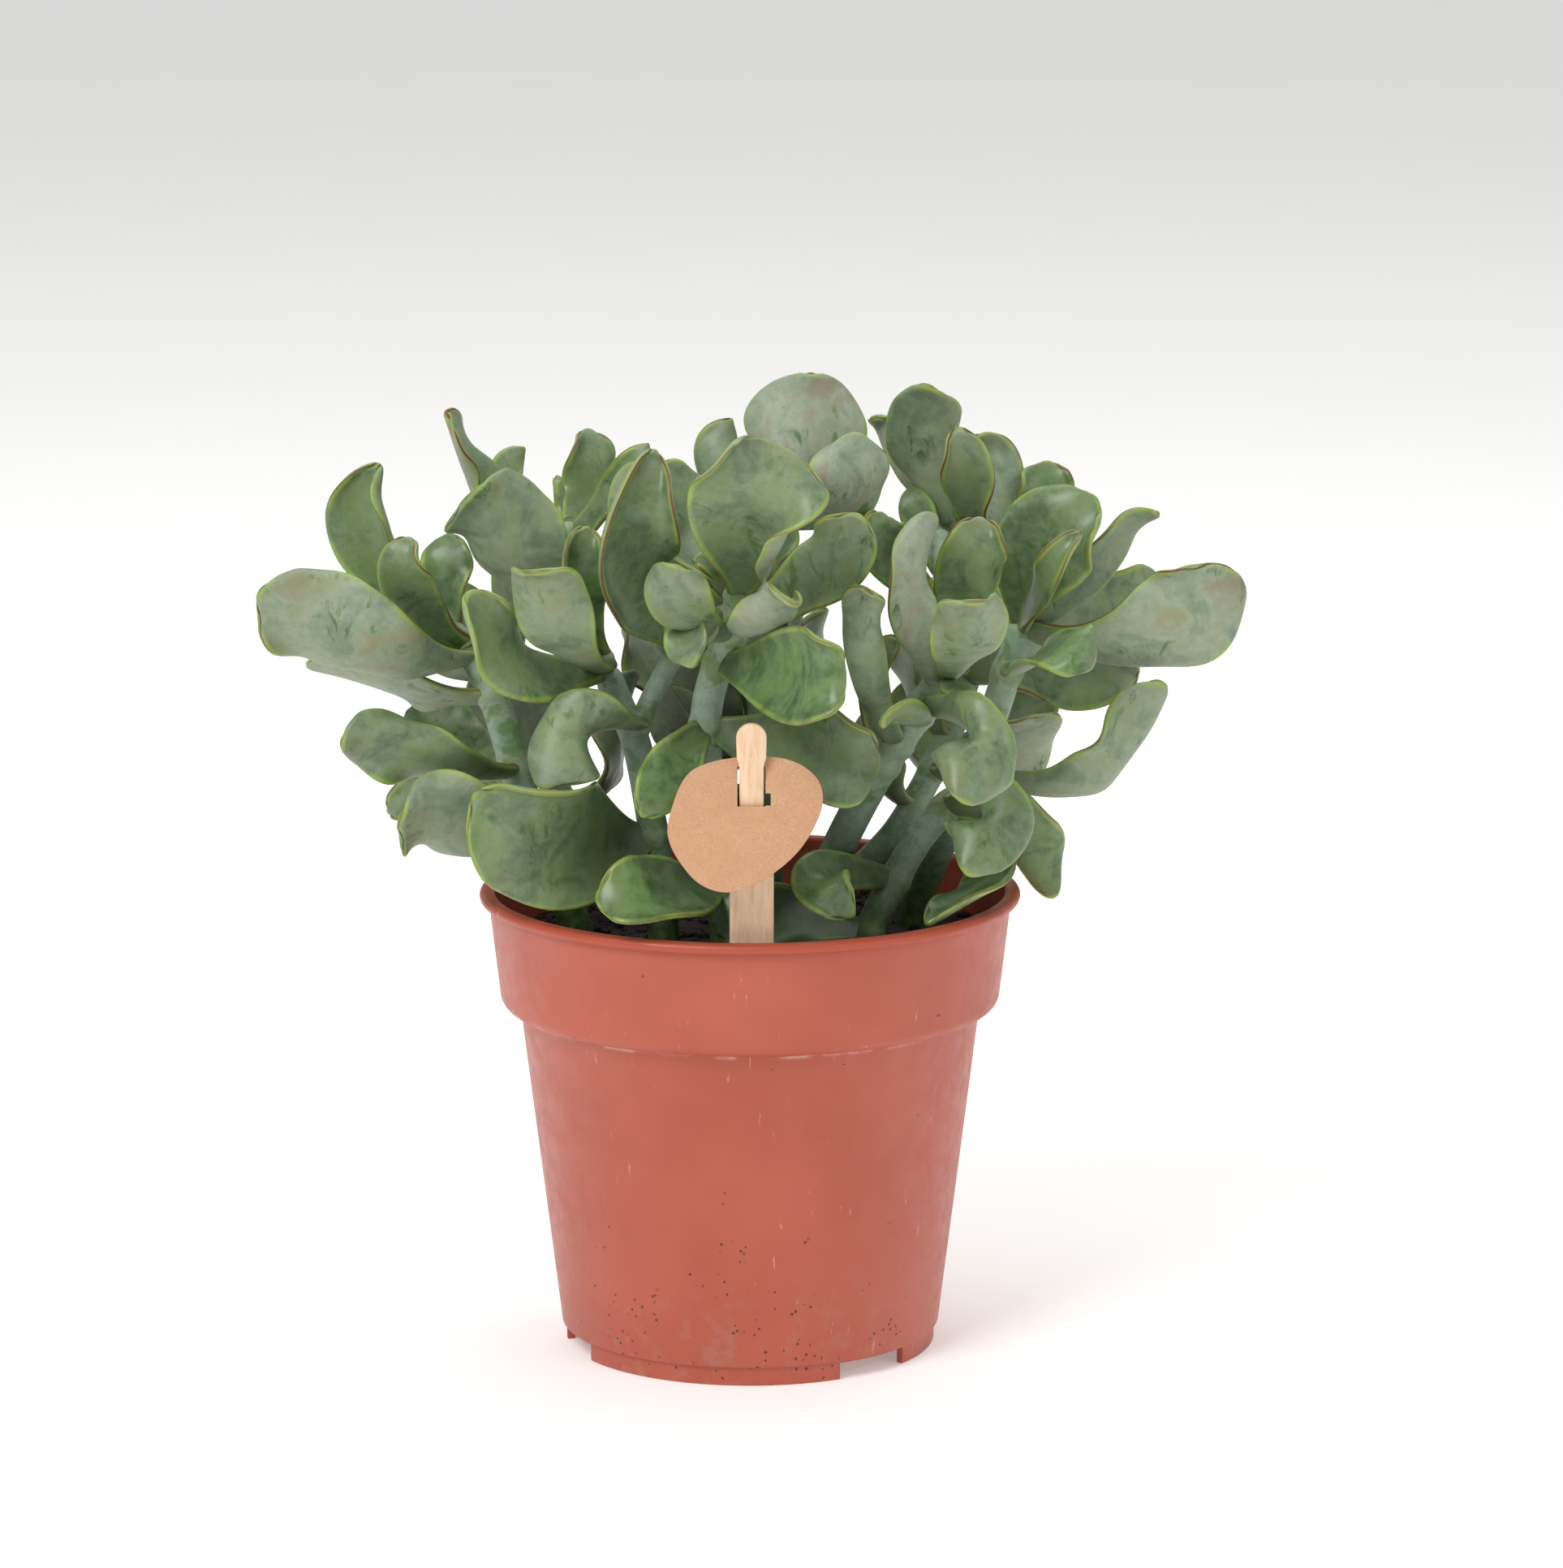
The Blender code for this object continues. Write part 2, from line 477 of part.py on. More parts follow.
def turned(name, profile, collection):
    # A solid of revolution: its outline, from the axis at the top to the axis at the bottom.
    mesh = bpy.data.meshes.new(name)
    points = [(radius * MM, 0.0, height * MM) for radius, height in profile]
    mesh.from_pydata(points, [(i, i + 1) for i in range(len(points) - 1)], [])
    thing = new_object(name, mesh, collection)
    screw = thing.modifiers.new("turn", "SCREW")
    screw.steps = screw.render_steps = POT_SIDES
    screw.use_merge_vertices = True
    screw.merge_threshold = 0.0001
    screw.use_smooth_shade = True
    apply_modifiers(thing)
    return thing


def cutter(name, work, cutters):
    thing = new_object(name, mesh_from(name, work), cutters)
    thing.hide_render = True
    thing.display_type = "WIRE"
    return thing


def box(low, high):
    work = bmesh.new()
    bmesh.ops.create_cube(work, size=1.0)
    for vert in work.verts:
        for axis in range(3):
            vert.co[axis] = (low[axis] if vert.co[axis] < 0 else high[axis]) * MM
    return work


def upright_cylinder(centre, radius, low, high, sides=12):
    work = bmesh.new()
    bmesh.ops.create_cone(work, cap_ends=True, segments=sides, radius1=radius * MM,
                          radius2=radius * MM, depth=(high - low) * MM)
    middle = (centre[0] * MM, centre[1] * MM, 0.5 * (low + high) * MM)
    bmesh.ops.translate(work, verts=work.verts, vec=middle)
    return work


def body_radius(height):
    # The pot's outer radius at a height below the collar.
    return BASE_RADIUS + (BODY_TOP_RADIUS - BASE_RADIUS) * height / COLLAR_FOOT_HEIGHT


def collar_radius(height):
    rise = (height - COLLAR_FOOT_HEIGHT) / (POT_HEIGHT - LIP_HEIGHT - COLLAR_FOOT_HEIGHT)
    return COLLAR_FOOT_RADIUS + (COLLAR_TOP_RADIUS - COLLAR_FOOT_RADIUS) * rise


def collar_foot_arc(shrink):
    # The rounded lower edge of the collar, from its side down to the body.
    points = []
    for step in range(4):
        angle = math.radians(90.0 * step / 3)
        centre = collar_radius(COLLAR_FOOT_HEIGHT + COLLAR_ROUND) - COLLAR_ROUND
        points.append((centre + (COLLAR_ROUND - shrink) * math.cos(angle),
                       COLLAR_FOOT_HEIGHT + COLLAR_ROUND
                       - (COLLAR_ROUND - shrink) * math.sin(angle)))
    return points


def make_pot(collection, cutters):
    lip_low = POT_HEIGHT - LIP_HEIGHT
    floor = FOOT_HEIGHT + FLOOR_THICKNESS
    inner_lip = COLLAR_TOP_RADIUS - WALL
    profile = [(0.0, floor), (body_radius(floor) - WALL, floor),
               (body_radius(COLLAR_FOOT_HEIGHT) - WALL, COLLAR_FOOT_HEIGHT + WALL)]
    profile += [(radius, height) for radius, height in reversed(collar_foot_arc(WALL))][1:]
    profile += [(inner_lip, lip_low), (inner_lip + 0.4, POT_HEIGHT - 0.6),
                (inner_lip + 1.2, POT_HEIGHT), (RIM_RADIUS - 1.0, POT_HEIGHT),
                (RIM_RADIUS - 0.2, POT_HEIGHT - 0.6), (RIM_RADIUS, POT_HEIGHT - 1.3),
                (RIM_RADIUS - 0.5, lip_low), (COLLAR_TOP_RADIUS, lip_low - 0.4)]
    profile += collar_foot_arc(0.0)
    profile += [(body_radius(COLLAR_FOOT_HEIGHT), COLLAR_FOOT_HEIGHT),
                (body_radius(FOOT_HEIGHT + 0.4), FOOT_HEIGHT + 0.4),
                (BASE_RADIUS - FOOT_INSET, FOOT_HEIGHT), (BASE_RADIUS - FOOT_INSET, 0.8),
                (BASE_RADIUS - FOOT_INSET - 0.5, 0.0),
                (BASE_RADIUS - FOOT_INSET - FOOT_WALL, 0.0),
                (BASE_RADIUS - FOOT_INSET - FOOT_WALL, FOOT_HEIGHT), (0.0, FOOT_HEIGHT)]
    pot = turned("nursery_pot", profile[::-1], collection)
    for i, angle in enumerate(NOTCH_ANGLES):
        half = BASE_RADIUS * math.sin(math.radians(0.5 * NOTCH_WIDTH))
        work = box((-half, -BASE_RADIUS - 5.0, -5.0), (half, -BASE_RADIUS + 8.0, FOOT_HEIGHT - 0.4))
        turn_about_axis(work, angle)
        boolean(pot, cutter(f"notch_{i + 1}", work, cutters), "DIFFERENCE", "EXACT")
    for i in range(DRAIN_COUNT):
        angle = 2.0 * math.pi * (i + 0.5) / DRAIN_COUNT
        centre = (DRAIN_RING * math.cos(angle), DRAIN_RING * math.sin(angle))
        work = upright_cylinder(centre, DRAIN_RADIUS, FOOT_HEIGHT - 2.0, floor + 2.0)
        boolean(pot, cutter(f"drain_{i + 1}", work, cutters), "DIFFERENCE", "EXACT")
    return pot


def turn_about_axis(work, degrees):
    # Turn the mesh about the pot's axis, from the front toward the right.
    angle = math.radians(degrees)
    for vert in work.verts:
        x, y = vert.co.x, vert.co.y
        vert.co.x = x * math.cos(angle) - y * math.sin(angle)
        vert.co.y = x * math.sin(angle) + y * math.cos(angle)


def make_soil(collection, cutters):
    bottom = FOOT_HEIGHT + FLOOR_THICKNESS + GAP
    step = COLLAR_FOOT_HEIGHT + WALL
    round_top = COLLAR_FOOT_HEIGHT + COLLAR_ROUND
    side = WALL + GAP
    crown = [(radius, SOIL_TOP + rise) for radius, rise in SOIL_CROWN]
    profile = crown + [
               (collar_radius(SOIL_TOP) - side, SOIL_TOP),
               (collar_radius(round_top) - side, round_top + GAP),
               (body_radius(COLLAR_FOOT_HEIGHT) - side, step + GAP),
               (body_radius(COLLAR_FOOT_HEIGHT) - side, COLLAR_FOOT_HEIGHT),
               (body_radius(bottom) - side, bottom), (0.0, bottom)]
    soil = turned("potting_soil", profile, collection)
    rng = random.Random(SOIL_SEED)
    for vert in soil.data.vertices:
        radius = math.hypot(vert.co.x, vert.co.y) / MM
        if vert.co.z / MM > SOIL_TOP - 0.1 and 1.0 < radius < 50.0:
            vert.co.z += rng.uniform(-SOIL_RELIEF, SOIL_RELIEF) * MM
    for name in list(STEMS) + list(BACK_STEMS):
        thick, line = stem_runs(name)[0]
        foot = line[0]
        low = SOIL_TOP - ROOT_DEPTH - GAP
        work = upright_cylinder(foot, 0.5 * thick + GAP, low, SOIL_TOP + 5.0)
        boolean(soil, cutter("hole_" + name, work, cutters), "DIFFERENCE", "EXACT")
    half = 0.5 * STAKE_WIDTH + GAP
    deep = 0.5 * STAKE_THICKNESS + GAP
    work = box((-half, -deep, STAKE_FOOT - GAP), (half, deep, SOIL_TOP + 8.0))
    stand_as_stake(work.verts)
    boolean(soil, cutter("hole_stake", work, cutters), "DIFFERENCE", "EXACT")
    return soil


def flat_outline(name, points, thickness, collection):
    # A board cut to a closed outline in the XZ plane, centred on Y = 0.
    curve = bpy.data.curves.new(name, "CURVE")
    curve.dimensions = "2D"
    curve.fill_mode = "BOTH"
    curve.extrude = 0.5 * thickness * MM
    spline = curve.splines.new("POLY")
    spline.points.add(len(points) - 1)
    for point, (right, up) in zip(spline.points, points):
        point.co = (right * MM, up * MM, 0.0, 1.0)
    spline.use_cyclic_u = True
    guide = new_object(name + "_outline", curve, collection)
    graph = bpy.context.evaluated_depsgraph_get()
    mesh = bpy.data.meshes.new_from_object(guide.evaluated_get(graph))
    bpy.data.objects.remove(guide)
    work = bmesh.new()
    work.from_mesh(mesh)
    bmesh.ops.remove_doubles(work, verts=work.verts, dist=0.000001)
    for vert in work.verts:
        vert.co.y, vert.co.z = -vert.co.z, vert.co.y
    return new_object(name, mesh_from(name, work), collection)


def stake_outline():
    # Half outline from the pointed foot to the rounded head, mirrored.
    foot = [(0.8, STAKE_FOOT), (0.5 * STAKE_WIDTH, STAKE_FOOT + 12.0),
            (0.5 * STAKE_WIDTH, STAKE_SHOULDER), (0.5 * STAKE_NECK_WIDTH + 0.8, STAKE_NECK_LOW - 1.5),
            (0.5 * STAKE_NECK_WIDTH, STAKE_NECK_LOW), (0.5 * STAKE_NECK_WIDTH, STAKE_NECK_HIGH),
            (0.5 * STAKE_HEAD_WIDTH - 0.1, STAKE_NECK_HIGH + 2.0)]
    head = []
    radius = 0.5 * STAKE_HEAD_WIDTH
    for step in range(6):
        angle = math.radians(90.0 * step / 6)
        head.append((radius * math.cos(angle), STAKE_TOP - radius + radius * math.sin(angle)))
    half = foot + head
    return half + [(0.0, STAKE_TOP)] + [(-right, up) for right, up in reversed(half)]


def make_stake(collection):
    stake = flat_outline("plant_stake", stake_outline(), STAKE_THICKNESS, collection)
    stand_as_stake(stake.data.vertices)
    return stake


def lean_back(verts, degrees, height):
    # Lean upright work back about a line across it at that height.
    angle = math.radians(degrees)
    for vert in verts:
        depth, up = vert.co.y, vert.co.z - height * MM
        vert.co.y = depth * math.cos(angle) + up * math.sin(angle)
        vert.co.z = up * math.cos(angle) - depth * math.sin(angle) + height * MM


def stand_as_stake(verts):
    # The stake leans a little toward the front, about the level of the rim.
    lean_back(verts, -STAKE_LEAN, POT_HEIGHT)
    for vert in verts:
        vert.co.x += STAKE_RIGHT * MM
        vert.co.y += STAKE_DEPTH * MM


def make_tag(collection, cutters):
    # Built upright about its slit, then leant back so that the neck passes through.
    tag = flat_outline("stake_tag", TAG_OUTLINE, TAG_THICKNESS, collection)
    lean = math.radians(TAG_LEAN)
    height = ((STAKE_THICKNESS + 2.0 * GAP) / math.sin(lean)
              + TAG_THICKNESS / math.tan(lean) + 0.2)
    work = box((TAG_SLIT_LEFT, -2.0, -0.5 * height),
               (TAG_SLIT_LEFT + TAG_SLIT_WIDTH, 2.0, 0.5 * height))
    boolean(tag, cutter("tag_slit", work, cutters), "DIFFERENCE", "EXACT")
    lean_back(tag.data.vertices, TAG_LEAN, 0.0)
    for vert in tag.data.vertices:
        vert.co.z += 0.5 * (STAKE_NECK_LOW + STAKE_NECK_HIGH) * MM
    stand_as_stake(tag.data.vertices)
    return tag


def stem_tube(name, line, thickness, collection):
    curve = bpy.data.curves.new(name, "CURVE")
    curve.dimensions = "3D"
    curve.bevel_depth = 0.5 * thickness * MM
    curve.bevel_resolution = 1
    curve.use_fill_caps = True
    spline = curve.splines.new("POLY")
    spline.points.add(len(line) - 1)
    for point, spot in zip(spline.points, line):
        point.co = (spot[0] * MM, spot[1] * MM, spot[2] * MM, 1.0)
    guide = new_object(name + "_line", curve, collection)
    graph = bpy.context.evaluated_depsgraph_get()
    mesh = bpy.data.meshes.new_from_object(guide.evaluated_get(graph))
    bpy.data.objects.remove(guide)
    work = bmesh.new()
    work.from_mesh(mesh)
    bmesh.ops.remove_doubles(work, verts=work.verts, dist=0.000001)
    return new_object(name, mesh_from(name, work), collection)


def leaf_blade(name, leaf, collection):
    # A flat grid, triangulated and thickened while flat, then bent into the leaf, so both
    # faces are split alike.
    rows, columns = next(split for width, split in BLADE_SPLITS if leaf["width"] > width)
    work = bmesh.new()
    bmesh.ops.create_grid(work, x_segments=columns, y_segments=rows, size=1.0)
    bmesh.ops.triangulate(work, faces=work.faces)
    grown = bmesh.ops.extrude_face_region(work, geom=work.faces[:], use_keep_orig=True)
    for item in grown["geom"]:
        if isinstance(item, bmesh.types.BMVert):
            item.co.z = 1.0
    verts = list(work.verts)
    across = np.array([vert.co.x for vert in verts])
    along = 1.0 - (0.5 - 0.5 * np.array([vert.co.y for vert in verts])) ** ROW_CROWDING
    layer = np.array([1.0 if vert.co.z > 0.5 else -1.0 for vert in verts])
    places = leaf_points(leaf, along, across, layer, 0.5 / rows, 1.0 / columns)
    for vert, place in zip(verts, places):
        vert.co = place * MM
    bmesh.ops.triangulate(work, faces=work.faces)
    return new_object(name, mesh_from(name, work), collection)


def make_leafy_stem(name, rng, collection, solids):
    # One stem with its twigs and leaves, fused into a single body.
    runs = stem_runs(name)
    thick, line = runs[0]
    foot = line[0].copy()
    foot[2] = SOIL_TOP - ROOT_DEPTH
    whole = stem_tube(name, [foot] + line, thick, collection)
    for i, (twig_thick, twig_line) in enumerate(runs[1:]):
        stem_tube(f"{name}_twig_{i + 1}", twig_line, twig_thick, solids)
    for i, leaf in enumerate(leaf_records(name, rng)):
        leaf_blade(f"{name}_leaf_{i + 1}", leaf, solids)
    boolean(whole, solids, "UNION", "MANIFOLD")
    for thing in list(solids.objects):
        bpy.data.objects.remove(thing)
    keep_largest_body(whole)
    return whole


def keep_largest_body(thing):
    # A hollow that the fusing sealed is filled and a loose scrap is dropped: only the
    # largest shell stays.
    work = bmesh.new()
    work.from_mesh(thing.data)
    unseen = set(work.verts)
    shells = []
    while unseen:
        shell = {unseen.pop()}
        edge = list(shell)
        while edge:
            vert = edge.pop()
            for link in vert.link_edges:
                other = link.other_vert(vert)
                if other in unseen:
                    unseen.remove(other)
                    shell.add(other)
                    edge.append(other)
        shells.append(shell)
    shells.sort(key=len, reverse=True)
    extra = [vert for shell in shells[1:] for vert in shell]
    bmesh.ops.delete(work, geom=extra, context="VERTS")
    thing.data = mesh_from(thing.name, work)


def build():
    for thing in list(bpy.data.objects):
        bpy.data.objects.remove(thing)
    parts = new_collection("potted_ripple_jade")
    cutters = new_collection("cutters")
    solids = new_collection("leaf_solids")
    plastic = plain_material("terracotta_plastic", "#C8664F", 0.45)
    soil_stuff = plain_material("dark_soil", "#1C120E", 0.95)
    wood = plain_material("pale_wood", "#EBCBAE", 0.7)
    board = plain_material("kraft_board", "#D3A582", 0.85)
    leaf_stuff = plain_material("jade_leaf", "#7E957C", 0.5)
    finished = [(make_pot(parts, cutters), plastic), (make_soil(parts, cutters), soil_stuff),
                (make_stake(parts), wood), (make_tag(parts, cutters), board)]
    rng = random.Random(SEED)
    for name in list(STEMS) + list(BACK_STEMS):
        finished.append((make_leafy_stem(name, rng, parts, solids), leaf_stuff))
    for thing, material in finished:
        thing.data.materials.clear()
        thing.data.materials.append(material)
        for face in thing.data.polygons:
            face.use_smooth = True
        print(thing.name, len(thing.data.polygons), "faces")


build()
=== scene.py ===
# %% [markdown]
# # A potted ripple jade, dressed for its portrait
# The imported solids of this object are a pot, its soil, a stake with a tag, and ten leafy
# stems with coarse leaves. This script loads them as a fixed frame, then makes the fine
# pieces that stand for them: leaves with rolled and rippled margins, ringed stems, a thin
# moulded pot, crumbly soil, a wooden stake and a board tag. Lengths are typed in
# millimetres, as a maker would, and turned to metres where Blender needs them.

# %% Load the frame
import math
import random

import bmesh
import bpy
import numpy as np
from mathutils import Matrix, Vector, noise


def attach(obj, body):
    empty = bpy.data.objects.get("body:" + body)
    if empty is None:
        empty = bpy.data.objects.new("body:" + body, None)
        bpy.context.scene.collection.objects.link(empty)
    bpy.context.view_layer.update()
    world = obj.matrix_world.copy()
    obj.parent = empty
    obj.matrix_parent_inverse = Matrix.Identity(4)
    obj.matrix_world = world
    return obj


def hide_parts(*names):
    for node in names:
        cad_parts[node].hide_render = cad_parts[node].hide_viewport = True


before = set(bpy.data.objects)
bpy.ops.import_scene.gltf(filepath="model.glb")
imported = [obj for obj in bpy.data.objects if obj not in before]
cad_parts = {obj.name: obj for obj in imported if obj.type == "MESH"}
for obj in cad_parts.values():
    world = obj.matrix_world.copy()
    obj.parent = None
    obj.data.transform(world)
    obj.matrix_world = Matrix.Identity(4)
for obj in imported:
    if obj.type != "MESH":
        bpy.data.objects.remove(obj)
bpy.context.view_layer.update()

MM = 0.001
print("nodes in the frame:", sorted(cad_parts))

# %% [markdown]
# ## The driving sizes
# The pot is a common 12 cm nursery pot. Every other size follows from the photograph
# against its rim, and the same values drive the solids, so a piece made here lands where
# its solid stands. The front faces -Y.

# %% Sizes of the pot and soil
POT_HEIGHT = 103.0
RIM_RADIUS = 60.0
LIP_HEIGHT = 2.4
COLLAR_TOP_RADIUS = 57.9
COLLAR_FOOT_RADIUS = 55.2
COLLAR_FOOT_HEIGHT = 76.8
COLLAR_ROUND = 3.2
BODY_TOP_RADIUS = 51.0
BASE_RADIUS = 41.6
FOOT_HEIGHT = 4.2
FOOT_INSET = 0.4
FOOT_WALL = 1.8
FLOOR_THICKNESS = 1.6
WALL = 1.4
POT_STEPS = 144
NOTCH_ANGLES = (42.0, 162.0, 288.0)
NOTCH_WIDTH = 26.0
NOTCH_DEPTH = 13.0
POT_EDGE = 0.25
DRAIN_COUNT = 6
DRAIN_RADIUS = 4.0
DRAIN_RING = 25.0
SOIL_TOP = 91.5
STEM_CLEAR = 2.5
ROOT_DEPTH = 6.0

# %% Sizes of the stake and tag
STAKE_DEPTH = -50.0
STAKE_RIGHT = 0.6
STAKE_FOOT = 58.0
STAKE_LEAN = 6.0
STAKE_TOP = 150.6
STAKE_WIDTH = 9.5
STAKE_NECK_WIDTH = 5.2
STAKE_HEAD_WIDTH = 6.5
STAKE_SHOULDER = 129.0
STAKE_NECK_LOW = 132.0
STAKE_NECK_HIGH = 141.0
STAKE_THICKNESS = 1.4
TAG_THICKNESS = 0.9
TAG_LEAN = 20.0
TAG_SLIT_WIDTH = 6.0
TAG_SLIT_LEFT = -3.0
TAG_NOTCH_WIDTH = 2.4
TAG_NOTCH_HEIGHT = 2.6
TAG_NOTCH_RIGHT = 2.9
TAG_NOTCH_UP = 1.5
TAG_CUT_DEPTH = 4.0
GAP = 0.3
TAG_OUTLINE = ((-18.2, -8.0), (-14.6, 2.6), (-9.2, 5.3), (-2.6, 6.4), (4.2, 6.6), (10.2, 5.2),
               (14.6, 1.6), (15.6, -3.4), (13.2, -9.4), (9.6, -14.6), (4.0, -19.2), (-2.0, -22.2),
               (-6.6, -22.8), (-11.6, -20.8), (-15.4, -16.2), (-17.6, -12.2))

# %% [markdown]
# ## The camera
# The photograph was taken from a little above the pot's rim, straight in front, from far
# away: the rim shows as a flat ellipse and the pot's sides hardly converge. A long lens at
# 1.5 m gives that look. Depth of field stays off.

# %% Camera
VIEW_TILT = 11.2
VIEW_DISTANCE = 1500.0
VIEW_AIM = (7.0, 0.0, 126.3)
VIEW_AIM_UP = 123.2
PHOTO_HEIGHT = 1932
PIXELS_PER_MM = 5.567
SENSOR = 36.0


def make_camera():
    data = bpy.data.cameras.new("portrait_camera")
    data.sensor_fit = "VERTICAL"
    data.sensor_height = SENSOR
    data.lens = SENSOR * VIEW_DISTANCE * PIXELS_PER_MM / PHOTO_HEIGHT
    data.clip_start = 0.05
    data.clip_end = 20.0
    camera = bpy.data.objects.new("portrait_camera", data)
    bpy.context.scene.collection.objects.link(camera)
    tilt = math.radians(VIEW_TILT)
    back = Vector((0.0, -math.cos(tilt), math.sin(tilt)))
    camera.location = (Vector(VIEW_AIM) + back * VIEW_DISTANCE) * MM
    camera.rotation_euler = (math.radians(90.0) - tilt, 0.0, 0.0)
    bpy.context.scene.camera = camera
    return camera


camera = make_camera()
print("camera at", tuple(round(c, 3) for c in camera.location), "lens", round(camera.data.lens, 1))

# %% [markdown]
# ## Floor and light
# The photograph is a cut-out on white, lit by large soft sources: a broad one above the
# front left, a weaker one at the right, and light from all round that keeps the shade
# among the stems open. A pale floor gives the pot something to stand on.

# %% Floor, lamps and sky
FLOOR_REACH = 8.0
LAMP_AIM = (0.0, 0.0, 0.13)
LAMPS = (("key_softbox", (-0.9, -1.3, 1.5), 0.9, 25.0),
         ("fill_softbox", (1.5, -1.0, 0.9), 1.2, 6.5),
         ("top_softbox", (0.1, 0.5, 1.7), 1.4, 12.0))
SKY_STRENGTH = 0.45


def add_lamp(name, place, side, watts):
    # A square softbox that looks at the plant.
    data = bpy.data.lights.new(name, "AREA")
    data.shape = "RECTANGLE"
    data.size = data.size_y = side
    data.energy = watts
    lamp = bpy.data.objects.new(name, data)
    lamp.location = place
    lamp.rotation_euler = (Vector(LAMP_AIM) - Vector(place)).to_track_quat("-Z", "Y").to_euler()
    bpy.context.scene.collection.objects.link(lamp)


def make_floor():
    work = bmesh.new()
    bmesh.ops.create_grid(work, x_segments=4, y_segments=4, size=FLOOR_REACH)
    mesh = bpy.data.meshes.new("pale_floor")
    work.to_mesh(mesh)
    work.free()
    floor = bpy.data.objects.new("pale_floor", mesh)
    bpy.context.scene.collection.objects.link(floor)
    return floor


floor = make_floor()
for lamp_settings in LAMPS:
    add_lamp(*lamp_settings)
sky = bpy.data.worlds.new("white_studio")
sky.use_nodes = True
sky.node_tree.nodes["Background"].inputs["Color"].default_value = (1.0, 1.0, 1.0, 1.0)
sky.node_tree.nodes["Background"].inputs["Strength"].default_value = SKY_STRENGTH
bpy.context.scene.world = sky
bpy.context.scene.view_settings.view_transform = "Standard"
print("three soft lamps and a white sky")

# %% [markdown]
# ## Small helpers
# Colours are read from swatches as hex values and turned to the linear numbers that
# shaders want. One function adds a shader node of any kind, with its settings and links.
# Three sets of settings come up again and again, so they have names. A tint is laid over
# a colour by a share, the way a painter glazes, and each finish is a short list of these.

# %% Colour and node helpers
TIMES = {"operation": "MULTIPLY"}
PLUS = {"operation": "ADD"}
SMOOTH = {"interpolation_type": "SMOOTHSTEP"}
COLOURS = {"data_type": "RGBA", "blend_type": "MIX"}


def linear(colour):
    channels = [int(colour[i:i + 2], 16) / 255.0 for i in (1, 3, 5)]
    return (*[((c + 0.055) / 1.055) ** 2.4 if c > 0.04045 else c / 12.92 for c in channels], 1.0)


def fill(tree, node, inputs):
    # Each input, by number or name, takes a number, a hex colour, a socket or a node.
    # A node stands for its first output that is in use.
    for place, value in inputs.items():
        if isinstance(value, bpy.types.Node):
            value = next(socket for socket in value.outputs if socket.enabled)
        if isinstance(value, bpy.types.NodeSocket):
            tree.links.new(value, node.inputs[place])
        else:
            node.inputs[place].default_value = linear(value) if isinstance(value, str) else value


def add(tree, kind, settings=None, inputs=(), stops=()):
    # A node with its settings and inputs; stops are a ramp's places and hex colours.
    node = tree.nodes.new("ShaderNode" + kind)
    for key, value in (settings or {}).items():
        setattr(node, key, value)
    fill(tree, node, inputs if isinstance(inputs, dict) else dict(enumerate(inputs)))
    for i, (place, colour) in enumerate(stops):
        elements = node.color_ramp.elements
        element = elements[i] if i < len(elements) else elements.new(1.0)
        element.position = place
        element.color = linear(colour)
    return node


def glaze(tree, colour, layers):
    # Lay each (share, strength, tint) over the colour; a strength of 1 needs no step.
    for share, strength, tint in layers:
        if strength != 1.0:
            share = add(tree, "Math", TIMES, (share, strength))
        colour = add(tree, "Mix", COLOURS, {0: share, 6: colour, 7: tint})
    return colour


def per_size(size_mm):
    # The scale of a pattern whose parts are about that many millimetres across.
    return 1.0 / (size_mm * MM)


def new_material(name, roughness, ior=1.5):
    material = bpy.data.materials.new(name)
    material.use_nodes = True
    tree = material.node_tree
    shader = tree.nodes["Principled BSDF"]
    fill(tree, shader, {"Roughness": roughness, "IOR": ior})
    where = add(tree, "TexCoord").outputs["Object"]
    return material, tree, shader, where


print("helpers ready")

# %% [markdown]
# ## How a leaf is described
# A ripple jade's leaf is a thick spoon on a short stalk. Its blade is cupped a little, and
# its margins roll and ripple. Each leaf is three points (root, middle, tip), a width, the
# way its upper face looks, a twist along its length, a cup, the height of its ripple and
# the bluntness of its tip. The leaves that the photograph shows were placed as they are
# seen: so far right and so far up, at a judged depth. The solids use the same table, with
# fewer splits.

# %% Sizes of a leaf
SEED = 7
TINY = 1e-12
LEAF_THICKNESS = 2.3
LEAF_EDGE = 1.2
BASE_SWELL = 1.7
PETIOLE_WIDTH = 4.6
WIDEST_AT = 0.62
CALM_ROOT = 0.35
SWELL_REACH = 0.22
TIP_BOW = 0.3
WAVES = 1.15
RIPPLE = 13.0
FINE_RIPPLE = 0.25
FINE_WAVES = 2.7
HOOK_RANGE = (0.4, 1.7)
ROLL_PLACES = (0.3, 0.6, 0.9)
ROLL_SPREAD = 0.17
ROLL_STEPS = 8
BACK_STEM_THICKNESS = 6.4

